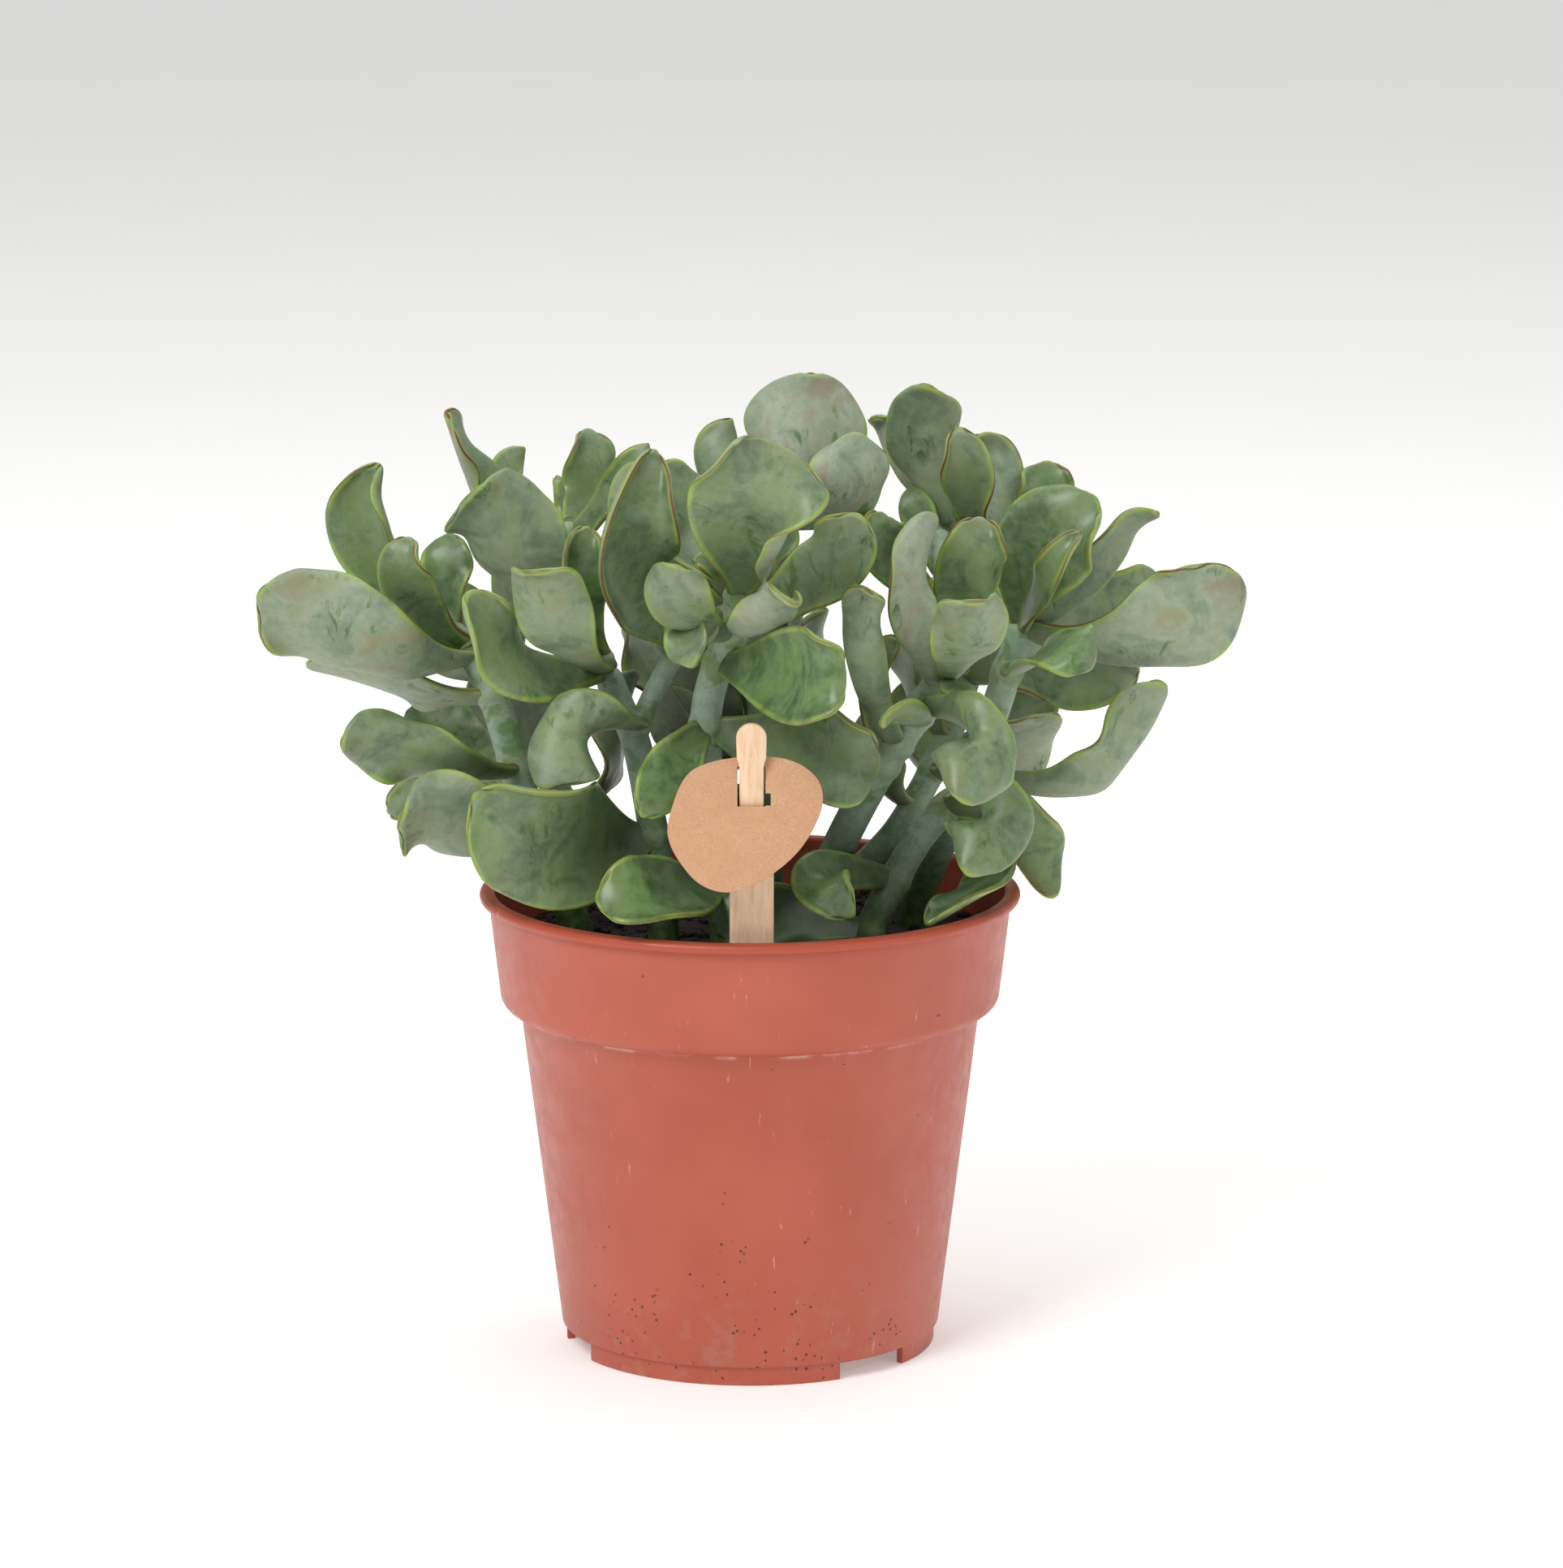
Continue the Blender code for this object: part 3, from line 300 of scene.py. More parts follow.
# %% Stems and leaves as they are seen
# Every stem: the runs of its stem and twigs (seen right, seen up, depth), their thickness
STEMS = {
    "leafy_stem_left": (
        (7.0, ((-38, 92, -4), (-46, 108, -6), (-51, 124, -7), (-57, 143, -6), (-62, 153, -4))),
        (4.6, ((-62, 153, -4), (-68, 159, 2), (-76, 166, 5))),
    ),
    "leafy_stem_left_front": (
        (6.6, ((-19, 90, -14), (-21, 110, -16), (-25, 132, -16), (-29, 141, -15), (-32, 149, -13))),
        (4.6, ((-32, 149, -13), (-37, 160, 0), (-41, 172, 8), (-40, 182, 9))),
        (4.6, ((-25, 134, -16), (-20, 146, -13), (-14, 156, -11))),
    ),
    "leafy_stem_centre": (
        (7.0, ((-5, 90, -16), (-8, 112, -20), (-10, 136, -22), (-7, 150, -24), (-3, 159, -28),
               (-2, 168, -31))),
        (4.6, ((-3, 159, -28), (2, 170, -14), (6, 182, -8), (9, 190, -6))),
    ),
    "leafy_stem_right_front": (
        (7.4, ((12, 92, -10), (19, 108, -14), (28, 125, -18), (38, 140, -24), (44, 148, -26))),
        (4.6, ((40, 143, -24), (44, 156, -12), (43, 170, -4), (42, 180, 0))),
    ),
    "leafy_stem_right": (
        (6.8, ((36, 96, 14), (45, 116, 8), (53, 136, 2), (57, 148, 0), (61, 160, 0))),
        (4.6, ((61, 160, 0), (63, 171, 8), (63, 180, 14))),
        (4.6, ((60, 158, 0), (54, 169, 8), (47, 181, 10))),
    ),
    "leafy_stem_low": (
        (6.8, ((25, 84, -26), (30, 98, -20), (38, 112, -14), (47, 121, -10), (54, 126, -6))),
    ),
}

# Every leaf: root, middle, tip (seen right, seen up, depth), width, the way its upper face
# looks at mid-length (right, up, toward the viewer), twist in degrees, cup, wave, tip width
LEAVES = {
    "leafy_stem_left": (
        ((-61, 152, -6), (-85, 152.5, -26), (-108.5, 166, -32), 29, (.2, .5, -.8), 10, .6, 2.4, .45),
        ((-57, 143, -6), (-78, 144.5, -3), (-98, 149.5, 4), 24, (.1, .9, -.5), 0, .4, 1.6, .3),
        ((-62, 153, -4), (-77, 162, 10), (-89, 170, 16), 20, (.4, .5, .7), 0, .6, 1.6, .4),
        ((-70, 160, 2), (-83, 176, 8), (-82, 194, 8), 19, (-.4, .2, .9), 30, .8, 1.2, .15),
        ((-64, 154, -5), (-74.5, 165, -18), (-75, 177.5, -20), 12, (-.3, .3, .9), 20, .7, 1.2, .4),
        ((-66, 158, 0), (-67, 169, 2), (-66, 178.5, 6), 12, (-.3, .1, .9), 0, .4, .8, .3),
        ((-50, 127, -7), (-72, 128.5, -26), (-90.5, 132, -32), 19, (0, .6, -.75), 20, .5, 1.8, .45),
        ((-53, 128, -7), (-66, 134, 6), (-74, 141, 14), 15, (.2, .3, .9), 0, .4, 1.2, .4),
        ((-52, 126, -7), (-68, 122, 4), (-80, 117, 10), 12, (.2, .4, .8), 0, .3, 1.2, .3),
        ((-46, 112, -8), (-63, 113, -30), (-77.5, 115, -40), 26, (.1, .3, -.9), 0, .4, 2.0, .4),
    ),
    "leafy_stem_left_front": (
        ((-38, 160, 0), (-52, 176, -18), (-62, 187, -24), 26, (.2, .2, -.9), 10, .5, 1.6, .6),
        ((-32, 149, -13), (-51, 149, -34), (-62, 166, -42), 18, (.3, .6, .7), 10, .5, 1.6, .5),
        ((-32, 149, -13), (-43, 159, -48), (-48, 170, -60), 18, (.2, .3, -.9), 0, .4, 1.2, .5),
        ((-33, 151, -12), (-38, 165, -26), (-36, 180, -28), 14, (.3, .1, .95), 0, .9, 1.0, .3),
        ((-15, 155, -11), (-27, 171, -34), (-21, 197, -36), 22, (.3, .1, .95), 10, .6, 1.6, .2),
        ((-17, 152, -11), (-28, 181, -20), (-23, 192.5, -22), 9, (.5, .1, -.8), 0, .3, .6, .3),
        ((-40, 180, 9), (-36, 191, 14), (-36, 201.5, 20), 12, (.3, .1, .95), 20, .3, 1.0, .55),
        ((-40, 176, 8), (-30.5, 187, 2), (-22.5, 198.5, 0), 9, (-.4, .3, .8), 20, .4, .8, .15),
        ((-41, 174, 8), (-60, 190, 6), (-67, 205, -4), 16, (.5, .6, .6), 60, .4, 1.4, .3),
        ((-41, 178, 8), (-54, 188.5, 20), (-50, 197.5, 26), 8, (.4, .4, .8), 0, .3, .6, .15),
        ((-40, 181, 9), (-41, 186, 12), (-43, 191, 16), 5, (.4, .3, .8), 0, .3, .4, .2),
        ((-25, 137, -16), (-37, 135, -36), (-46, 122, -42), 23, (.3, .3, -.9), 20, .4, 1.4, .3),
        ((-21, 112, -16), (-40, 110, -34), (-61, 121, -42), 32, (-.1, .15, .95), 0, .4, 2.0, .2),
    ),
    "leafy_stem_centre": (
        ((-2, 165, -30), (1, 182, -58), (6, 198, -62), 30, (0, .1, 1), 0, .8, 2.0, .7),
        ((7, 178, -8), (11, 197, -12), (13.5, 214, -10), 29, (.1, .3, -.9), 0, .7, 2.0, .25),
        ((6, 184, -7), (-7, 192, -4), (-4, 204, 2), 12, (.3, .2, -.9), 0, .3, .8, .1),
        ((7, 181, -7), (20, 187, -24), (23, 201, -24), 19, (-.2, .2, -.9), 0, .3, .8, .55),
        ((-2, 161, -28), (15, 169, -38), (24, 183, -42), 17, (-.3, .1, .9), 0, .3, 1.4, .5),
        ((-2, 167, -31), (-8, 171, -38), (-12.5, 172.5, -41), 5, (0, .5, .8), 0, .3, .3, .4),
        ((-3, 158, -28), (2, 160, -55), (9.5, 163, -70), 12, (.1, .4, -.9), 30, .6, 1.8, .5),
        ((-7, 150, -24), (9, 147.5, -56), (21, 147, -70), 22, (0, .2, .95), 0, .3, 1.0, .6),
        ((-9, 136, -22), (12, 130, -36), (28.5, 128, -42), 23, (0, .2, 1), 0, .3, 1.4, .5),
        ((-9, 136, -22), (-16, 128, -38), (-24, 116, -44), 13, (.4, .5, .8), 10, .4, 1.4, .35),
        ((-5, 156, -27), (-15, 162, -46), (-16, 171.5, -52), 15, (.2, .3, -.9), 0, .4, .8, .55),
        ((-5, 156, -27), (-12, 158, -36), (-12.5, 149, -46), 12, (-.4, .2, .9), 0, .4, 1.0, .5),
        ((0, 166, -17), (-14, 180, -6), (-16, 195, -2), 17, (.1, .1, .95), 0, .3, .8, .5),
        ((-7, 104, -19), (-17, 99, -44), (-34, 98, -52), 19, (0, .5, .8), 0, .4, 1.2, .45),
    ),
    "leafy_stem_right_front": (
        ((32, 133, -20), (25, 154, -49), (26, 166, -53), 11, (.2, .1, -.9), 0, .5, .8, .35),
        ((43, 160, -8), (31, 174, -18), (29, 183, -20), 12, (.2, .1, .95), 0, .4, 1.0, .4),
        ((43, 170, -4), (38, 181, 2), (35.5, 189, 6), 8, (0, .1, .95), 0, .3, .4, .1),
        ((42, 146, -24), (36, 163, -44), (41, 183, -42), 12, (-.3, .1, -.9), 50, .5, 1.4, .45),
        ((44, 152, -16), (48, 168, -30), (51, 182, -30), 15, (.1, .1, 1), 0, .3, 1.2, .4),
        ((44, 147, -26), (48, 155, -58), (50, 163.5, -71), 17, (-.1, .2, -.9), 0, .4, 1.2, .5),
        ((30, 128, -18), (27, 147, -30), (33, 155, -32), 7, (.3, 0, .9), 0, .3, .5, .3),
        ((38, 141, -24), (50, 134, -57), (47, 119, -70), 22, (-.1, .2, -.9), 10, .5, 1.4, .3),
        ((37, 139, -23), (36, 138, -48), (29, 136, -56), 8, (0, .6, -.7), 0, .5, .6, .5),
        ((44, 147, -26), (45, 144, -38), (50, 141.5, -43), 5, (0, .5, .7), 0, .5, .3, .4),
    ),
    "leafy_stem_right": (
        ((60, 158, 0), (64, 174, -14), (77, 186, -18), 23, (-.2, .2, .95), 0, .3, 1.8, .4),
        ((63, 176, 12), (65, 186, 20), (66, 194.5, 24), 13, (0, .1, .95), 0, .3, .8, .5),
        ((61, 158, 0), (65, 168, -24), (73, 179, -28), 8, (-.5, .2, .8), 30, .6, .8, .25),
        ((61, 158, 0), (77, 172, -5), (90.5, 183, -4), 11, (-.4, .4, -.8), 30, .3, .8, .2),
        ((61, 158, 0), (80, 163.5, 14), (92, 166, 22), 13, (0, .4, .9), -2, .3, 1.0, .5),
        ((61, 158, 0), (90, 155.5, -18), (105, 171.5, -20), 25, (.05, .4, -.9), -5, .4, 2.2, .5),
        ((57, 149, 0), (66, 152, -34), (76, 150, -44), 15, (0, .6, .8), -2, .3, 1.2, .6),
        ((57, 147, 0), (71, 147, 4), (86, 150, 10), 17, (0, .5, .8), 5, .3, 1.4, .4),
        ((48, 179, 10), (40, 194, 4), (39, 211.5, -2), 19, (.2, .2, -.9), -7, .4, 1.6, .4),
        ((49, 177, 10), (49, 188, 0), (46, 202, -2), 12, (-.2, .1, .95), -6, .6, 1.2, .4),
        ((50, 176, 10), (54, 189, 22), (49.5, 200, 26), 14, (0, .1, -.95), -5, .4, 1.2, .4),
        ((47, 180, 10), (34, 195, 20), (27, 204, 22), 8, (.4, .4, -.8), 23, .3, .8, .4),
    ),
    "leafy_stem_low": (
        ((53, 125, -6), (78, 126.5, -18), (90.5, 146, -22), 18, (-.3, .5, -.8), 0, .5, 1.4, .5),
        ((52, 125, -7), (62, 113, 8), (67, 98, 14), 13, (-.2, .3, -.9), -3, .3, 1.2, .25),
        ((44, 119, -11), (53, 117, -40), (48, 103, -48), 21, (.2, .1, -.9), -3, .4, 1.4, .35),
        ((43, 117, -12), (54, 103, -20), (39, 92, -36), 17, (-.6, .5, .4), 3, .6, 1.0, .3),
        ((32, 102, -18), (16, 103, -38), (23, 94, -43), 13, (0, .3, .95), 0, .3, .8, .5),
        ((26, 90, -24), (7, 94, -33), (-8, 91, -34), 15, (0, .4, .9), 0, .3, .8, .5),
    ),
}

# How far a margin rolls over at three places along the leaf, in degrees, first on its
# minus side and then on its plus side. Only leaves whose folds show well are listed.
ROLLS = {
    "leafy_stem_left": {
        1: ((25, 35, 25), (-20, -45, -30)),
        4: ((0, 0, 0), (50, 100, 110)),
        7: ((60, 70, 30), (0, -20, -20)),
    },
    "leafy_stem_left_front": {
        1: ((0, 25, 50), (0, -10, 0)),
        5: ((0, 20, 130), (0, 10, 20)),
        12: ((0, 60, 90), (0, 0, 0)),
        13: ((-20, -20, 0), (10, -20, 90)),
    },
    "leafy_stem_centre": {
        1: ((40, 15, 0), (110, 120, -30)),
        2: ((40, 60, 20), (20, 20, 40)),
        5: ((0, -20, -40), (0, 30, 40)),
        7: ((40, 90, 60), (0, 20, 0)),
        8: ((0, 60, 90), (0, 20, 60)),
        9: ((0, 0, 30), (0, 40, -30)),
        14: ((0, 0, 60), (0, 20, 0)),
    },
    "leafy_stem_right_front": {
        1: ((30, 60, 30), (0, 0, 0)),
        5: ((20, 40, -30), (0, -20, 40)),
        6: ((0, 30, 20), (0, 40, -20)),
        8: ((0, 20, 60), (60, 90, 20)),
    },
    "leafy_stem_right": {
        1: ((0, 0, -50), (0, 20, 60)),
        6: ((40, 60, 0), (0, -30, -40)),
        8: ((0, 20, 60), (0, 20, -40)),
        9: ((0, 30, 60), (0, -20, 30)),
    },
    "leafy_stem_low": {
        1: ((60, 50, 20), (0, -20, -30)),
        2: ((0, 20, -30), (0, -20, 30)),
        3: ((0, 30, 70), (0, 0, 40)),
    },
}

# Leafy stems of the far side, out of the photo's sight, grown by rule: the stem's run, then
# the number of leaf pairs, how far up the first one stands (0 to 1), its turn in degrees and
# the leaves' length and width
BACK_STEMS = {
    "leafy_stem_back_left": (((-28, 92, 18), (-38, 112, 28), (-48, 134, 37), (-57, 152, 44)),
                             5, 0.42, 0.0, 36.0, 23.0),
    "leafy_stem_back": (((-5, 92, 24), (-7, 120, 36), (-7, 146, 44), (-9, 165, 48)),
                        5, 0.42, 65.0, 36.0, 24.0),
    "leafy_stem_back_right": (((18, 92, 30), (32, 112, 38), (44, 134, 44), (50, 154, 49)),
                              5, 0.42, 24.0, 36.0, 23.0),
    "leafy_stem_middle": (((4, 92, 2), (4, 120, 6), (2, 146, 10), (0, 164, 12)),
                          5, 0.24, 78.0, 27.0, 18.0),
}
print("leaves placed by hand:", sum(len(rows) for rows in LEAVES.values()))

# %% [markdown]
# ## From the table to real places
# A point typed as it is seen lies on a line of sight, and its depth says where on that
# line. So what is typed from the photograph lands there in the render, and the depths
# give the plant its round form from the sides.

# %% Lines of sight and stem lines


def seen(right, up, depth):
    # A point seen that far right and up of the pot's foot, at a depth behind its axis.
    tilt = math.radians(VIEW_TILT)
    forward = np.array([0.0, math.cos(tilt), -math.sin(tilt)])
    upward = np.array([0.0, math.sin(tilt), math.cos(tilt)])
    eye = np.array(VIEW_AIM) - VIEW_DISTANCE * forward
    on_picture = np.array(VIEW_AIM) + (up - VIEW_AIM_UP) * upward
    on_picture[0] = right
    reach = (depth - eye[1]) / (on_picture[1] - eye[1])
    return eye + reach * (on_picture - eye)


def unit(vector):
    return vector / np.maximum(np.linalg.norm(vector, axis=-1, keepdims=True), TINY)


def smooth_run(points, steps=3):
    # A smooth line through the points, starting upright.
    points = [np.asarray(point, dtype=float) for point in points]
    first = points[0] - np.array([0.0, 0.0, 12.0])
    last = 2.0 * points[-1] - points[-2]
    whole = [first] + points + [last]
    line = []
    for i in range(1, len(whole) - 2):
        before, start, end, after = whole[i - 1:i + 3]
        for step in range(steps):
            t = step / steps
            line.append(0.5 * (2.0 * start + (end - before) * t
                               + (2.0 * before - 5.0 * start + 4.0 * end - after) * t ** 2
                               + (3.0 * start - before - 3.0 * end + after) * t ** 3))
    line.append(points[-1])
    return line


def nearest_on(runs, point):
    # The point of the stem's lines that lies nearest to the given one.
    best = None
    for line in runs:
        for start, end in zip(line[:-1], line[1:]):
            along = end - start
            t = min(1.0, max(0.0, float((point - start) @ along / (along @ along))))
            spot = start + t * along
            away = np.linalg.norm(point - spot)
            if best is None or away < best[0]:
                best = (away, spot)
    return best[1]


def stem_runs(name):
    # Every run of a stem as (thickness, line of points); the first one rises from the soil.
    runs = ((BACK_STEM_THICKNESS, BACK_STEMS[name][0]),) if name in BACK_STEMS else STEMS[name]
    lines = [[seen(*point) for point in points] for thick, points in runs]
    lines[0][0][2] = SOIL_TOP + STEM_CLEAR
    return [(thick, smooth_run(line)) for (thick, points), line in zip(runs, lines)]


print("stems to grow:", len(STEMS) + len(BACK_STEMS))

# %% [markdown]
# ## Leaves as records
# The leaves in the table become records with real points. The far side of the plant is
# out of the photograph's sight, so its stems carry opposite pairs, each pair a quarter
# turn against the one below, as this species grows. The draws are seeded, and run in the
# same order as the solids', so both get the same leaves.

# %% Leaf records


def leaf_records(name, rng):
    runs = [line for thick, line in stem_runs(name)]
    if name in BACK_STEMS:
        return grown_leaves(name, runs[0], rng)
    records = []
    for i, row in enumerate(LEAVES[name]):
        root, middle, tip, width, face, twist, cup, wave, tip_width = row
        records.append({
            "root": nearest_on(runs, seen(*root)), "middle": seen(*middle), "tip": seen(*tip),
            "width": width, "face": unit(np.array([face[0], -face[2], face[1]])),
            "twist": math.radians(twist), "cup": cup, "wave": wave, "tip_width": tip_width,
            "rolls": ROLLS.get(name, {}).get(i + 1, ((0, 0, 0), (0, 0, 0))),
            "hook": rng.uniform(*HOOK_RANGE), "phases": (rng.random(), rng.random())})
    return records


def grown_leaves(name, line, rng):
    # Opposite pairs up the stem, every pair turned a quarter against the one below.
    run, pairs, first_place, first_turn, length, width = BACK_STEMS[name]
    records = []
    for pair in range(pairs):
        place = first_place + (1.0 - first_place) * pair / (pairs - 1)
        spot = line[min(len(line) - 1, int(round(place * (len(line) - 1))))]
        below = line[max(0, int(round(place * (len(line) - 1))) - 1)]
        axis = unit(spot - below)
        sideways = unit(np.cross(axis, np.array([0.0, 1.0, 0.2])))
        across = np.cross(axis, sideways)
        for half in (0, 1):
            turn = math.radians(first_turn + 90.0 * pair + 180.0 * half + rng.uniform(-12, 12))
            out = math.cos(turn) * sideways + math.sin(turn) * across
            size = rng.uniform(0.85, 1.05)
            rise = 0.35 + 0.55 * pair / (pairs - 1)
            lean = unit(out + rise * axis)
            middle = spot + size * length * 0.5 * lean - 1.5 * axis
            tip = spot + size * length * unit(out + (rise + 0.35) * axis)
            records.append({
                "root": spot, "middle": middle, "tip": tip, "width": size * width,
                "face": unit(axis - 0.5 * out), "twist": math.radians(rng.uniform(-25, 25)),
                "cup": rng.uniform(0.3, 0.6), "wave": rng.uniform(1.2, 2.0),
                "tip_width": rng.uniform(0.3, 0.5), "rolls": ((0, 0, 0), (0, 0, 0)),
                "hook": rng.uniform(*HOOK_RANGE), "phases": (rng.random(), rng.random())})
    return records


# %% [markdown]
# ## The form of one blade
# The blade's spine is a curve through its three points. Across the spine the blade
# follows an arc: it turns by the cup, and near the margin it turns further by the roll,
# up on one stretch and down on the next. Turning keeps the blade's width, so a margin
# curls over as a real one does and isn't only lifted. The functions take whole arrays of
# places, s along the leaf and v across it, which is much quicker than point by point.

# %% Blade functions


def leaf_half_width(leaf, s):
    # Half the leaf's width at s, from its root at 0 to its tip at 1.
    stalk = min(0.6, PETIOLE_WIDTH / leaf["width"])
    rise = np.clip(s / WIDEST_AT, 0.0, 1.0)
    left = np.clip((s - WIDEST_AT) / (1.0 - WIDEST_AT), 0.0, 1.0)
    blunt = leaf["tip_width"]
    lower = stalk + (1.0 - stalk) * np.sin(0.5 * math.pi * rise) ** 1.5
    upper = blunt + (1.0 - blunt) * (1.0 - left ** 2) ** (0.9 - 0.8 * min(blunt, 0.5))
    return 0.5 * leaf["width"] * np.where(s < WIDEST_AT, lower, upper)


def margin_roll(leaf, s, v):
    # How far the margin on that side turns over at s, in radians.
    phase = np.where(v < 0, leaf["phases"][0], leaf["phases"][1])
    ripple = RIPPLE * leaf["wave"] / leaf["width"]
    roll = ripple * np.minimum(1.0, s / CALM_ROOT) * np.sin(2.0 * math.pi * (WAVES * s + phase))
    roll = roll + FINE_RIPPLE * ripple * np.sin(2.0 * math.pi * (FINE_WAVES * s - phase))
    for place, minus, plus in zip(ROLL_PLACES, *leaf["rolls"]):
        bump = np.exp(-((s - place) / ROLL_SPREAD) ** 2)
        roll = roll + np.radians(np.where(v < 0, minus, plus)) * bump
    return roll


def leaf_middle(leaf, s, v):
    # Points of the leaf's middle surface at s along and v across (-1 to 1).
    length = np.linalg.norm(leaf["tip"] - leaf["root"])
    bow = TIP_BOW * leaf["tip_width"] * leaf["width"] / length
    reach = (s - bow * v ** 2 * s ** 4)[:, None]
    bend = 2.0 * leaf["middle"] - 0.5 * (leaf["root"] + leaf["tip"])
    hook = leaf["hook"] * length * leaf["face"]
    spine = ((1 - reach) ** 2 * leaf["root"] + 2 * reach * (1 - reach) * bend
             + reach ** 2 * leaf["tip"] + reach * (1 - reach) * (reach - 0.5) * hook)
    along = unit(2 * (1 - reach) * (bend - leaf["root"]) + 2 * reach * (leaf["tip"] - bend)
                 + (3 * reach - 3 * reach ** 2 - 0.5) * hook)
    face = unit(leaf["face"] - np.sum(leaf["face"] * along, axis=1, keepdims=True) * along)
    turn = (leaf["twist"] * (s - 0.5))[:, None]
    face = np.cos(turn) * face + np.sin(turn) * np.cross(along, face)
    side = np.cross(along, face)
    half = leaf_half_width(leaf, s)
    roll = margin_roll(leaf, s, v)
    across = np.zeros_like(s)
    lift = np.zeros_like(s)
    for step in range(ROLL_STEPS):
        t = v * (step + 0.5) / ROLL_STEPS
        angle = leaf["cup"] * t + roll * np.abs(t) * t
        across += half * np.cos(angle) * v / ROLL_STEPS
        lift += half * np.sin(angle) * v / ROLL_STEPS
    return spine + across[:, None] * side + lift[:, None] * face


def leaf_points(leaf, s, v, layer, step_s, step_v):
    # Points of the leaf's upper (layer 1) or lower (layer -1) face, or between them.
    low_s, high_s = np.maximum(0.0, s - step_s), np.minimum(1.0, s + step_s)
    low_v, high_v = np.maximum(-1.0, v - step_v), np.minimum(1.0, v + step_v)
    along = leaf_middle(leaf, high_s, v) - leaf_middle(leaf, low_s, v)
    across = leaf_middle(leaf, s, high_v) - leaf_middle(leaf, s, low_v)
    normal = unit(np.cross(across, along))
    thick = LEAF_EDGE + (LEAF_THICKNESS - LEAF_EDGE) * (1.0 - v ** 2) * (1.0 - 0.5 * s)
    thick = thick + BASE_SWELL * np.maximum(0.0, 1.0 - s / SWELL_REACH) ** 2
    return leaf_middle(leaf, s, v) + (0.5 * layer * thick)[:, None] * normal


print("blade functions ready")

# %% [markdown]
# ## Making a blade
# A flat grid is extruded twice, so that it has two faces and a rim with a line round its
# middle. Then every point is carried to its place on the leaf. The rim's middle line
# stands a little proud, and one level of subdivision rounds it. Each point also remembers
# where on the leaf it is. The finish reads that: the margin's colour, the upper and under
# face, and how waxy this leaf is.

# %% Leaf meshes
FINE_SPLITS = ((19.0, (16, 12)), (9.5, (14, 8)), (0.0, (10, 6)))
RIM_PROUD = 0.35
TIP_CROWDING = 1.25
STEP_ALONG = 0.02
STEP_ACROSS = 0.04
HEART = (0.0, 2.0, 120.0)
HEART_REACH = (62.0, 40.0, 48.0)
LEAF_MARKS = ("margin_mm", "along", "upper", "rim", "wax", "blush", "shade")


def inner_shade(places):
    # Painted shade, from 0 at the plant's outside to 1 deep inside it, for places in millimetres.
    away = np.linalg.norm((places - np.array(HEART)) / np.array(HEART_REACH), axis=1)
    return np.clip(1.6 - 1.4 * away, 0.0, 1.0)


def add_blade(work, leaf, marks):
    rows, columns = next(split for width, split in FINE_SPLITS if leaf["width"] > width)
    flat = bmesh.ops.create_grid(work, x_segments=columns, y_segments=rows, size=1.0)["verts"]
    faces = list(dict.fromkeys(face for vert in flat for face in vert.link_faces))
    raised = bmesh.ops.extrude_face_region(work, geom=faces, use_keep_orig=True)["geom"]
    middle = [item for item in raised if isinstance(item, bmesh.types.BMVert)]
    bmesh.ops.translate(work, verts=middle, vec=(0.0, 0.0, 1.0))
    faces = [item for item in raised if isinstance(item, bmesh.types.BMFace)]
    raised = bmesh.ops.extrude_face_region(work, geom=faces)["geom"]
    top = [item for item in raised if isinstance(item, bmesh.types.BMVert)]
    bmesh.ops.translate(work, verts=top, vec=(0.0, 0.0, 1.0))
    bmesh.ops.delete(work, geom=faces, context="FACES")
    verts = [vert for vert in flat + middle + top if vert.is_valid]
    v = np.array([vert.co.x for vert in verts])
    s = 1.0 - (0.5 - 0.5 * np.array([vert.co.y for vert in verts])) ** TIP_CROWDING
    layer = np.array([vert.co.z - 1.0 for vert in verts])
    places = leaf_points(leaf, s, v, layer, STEP_ALONG, STEP_ACROSS)
    length = np.linalg.norm(leaf["tip"] - leaf["root"])
    to_side = (1.0 - np.abs(v)) * leaf_half_width(leaf, s)
    margin = np.minimum(to_side, (1.0 - s) * length)
    rim = np.abs(layer) < 0.5
    inside = leaf_points(leaf, np.clip(s, 0.0, 0.97), v * 0.9, layer, STEP_ALONG, STEP_ACROSS)
    outward = unit(places - inside)
    places = places + (RIM_PROUD * rim)[:, None] * outward
    same = np.ones(len(verts))
    values = {"margin_mm": margin, "along": s, "upper": 0.5 + 0.5 * layer, "rim": rim * 1.0,
              "wax": leaf["wax"] * same, "blush": leaf["blush"] * same, "shade": inner_shade(places)}
    for i, vert in enumerate(verts):
        vert.co = places[i] * MM
        for mark, layer_of in marks.items():
            vert[layer_of] = values[mark][i]


def finish_mesh(name, work, material, smooth=True):
    bmesh.ops.recalc_face_normals(work, faces=work.faces)
    mesh = bpy.data.meshes.new(name)
    work.to_mesh(mesh)
    work.free()
    if smooth:
        mesh.shade_smooth()
    mesh.materials.append(material)
    piece = bpy.data.objects.new(name, mesh)
    bpy.context.scene.collection.objects.link(piece)
    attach(piece, "root")
    return piece


def stands_for(piece, node):
    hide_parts(node)
    return piece


def make_leaves(name, leaves, material):
    work = bmesh.new()
    marks = {mark: work.verts.layers.float.new(mark) for mark in LEAF_MARKS}
    for leaf in leaves:
        add_blade(work, leaf, marks)
    piece = finish_mesh(name + "_leaves", work, material)
    rounder = piece.modifiers.new("rounded", "SUBSURF")
    rounder.levels = rounder.render_levels = 1
    return stands_for(piece, name)


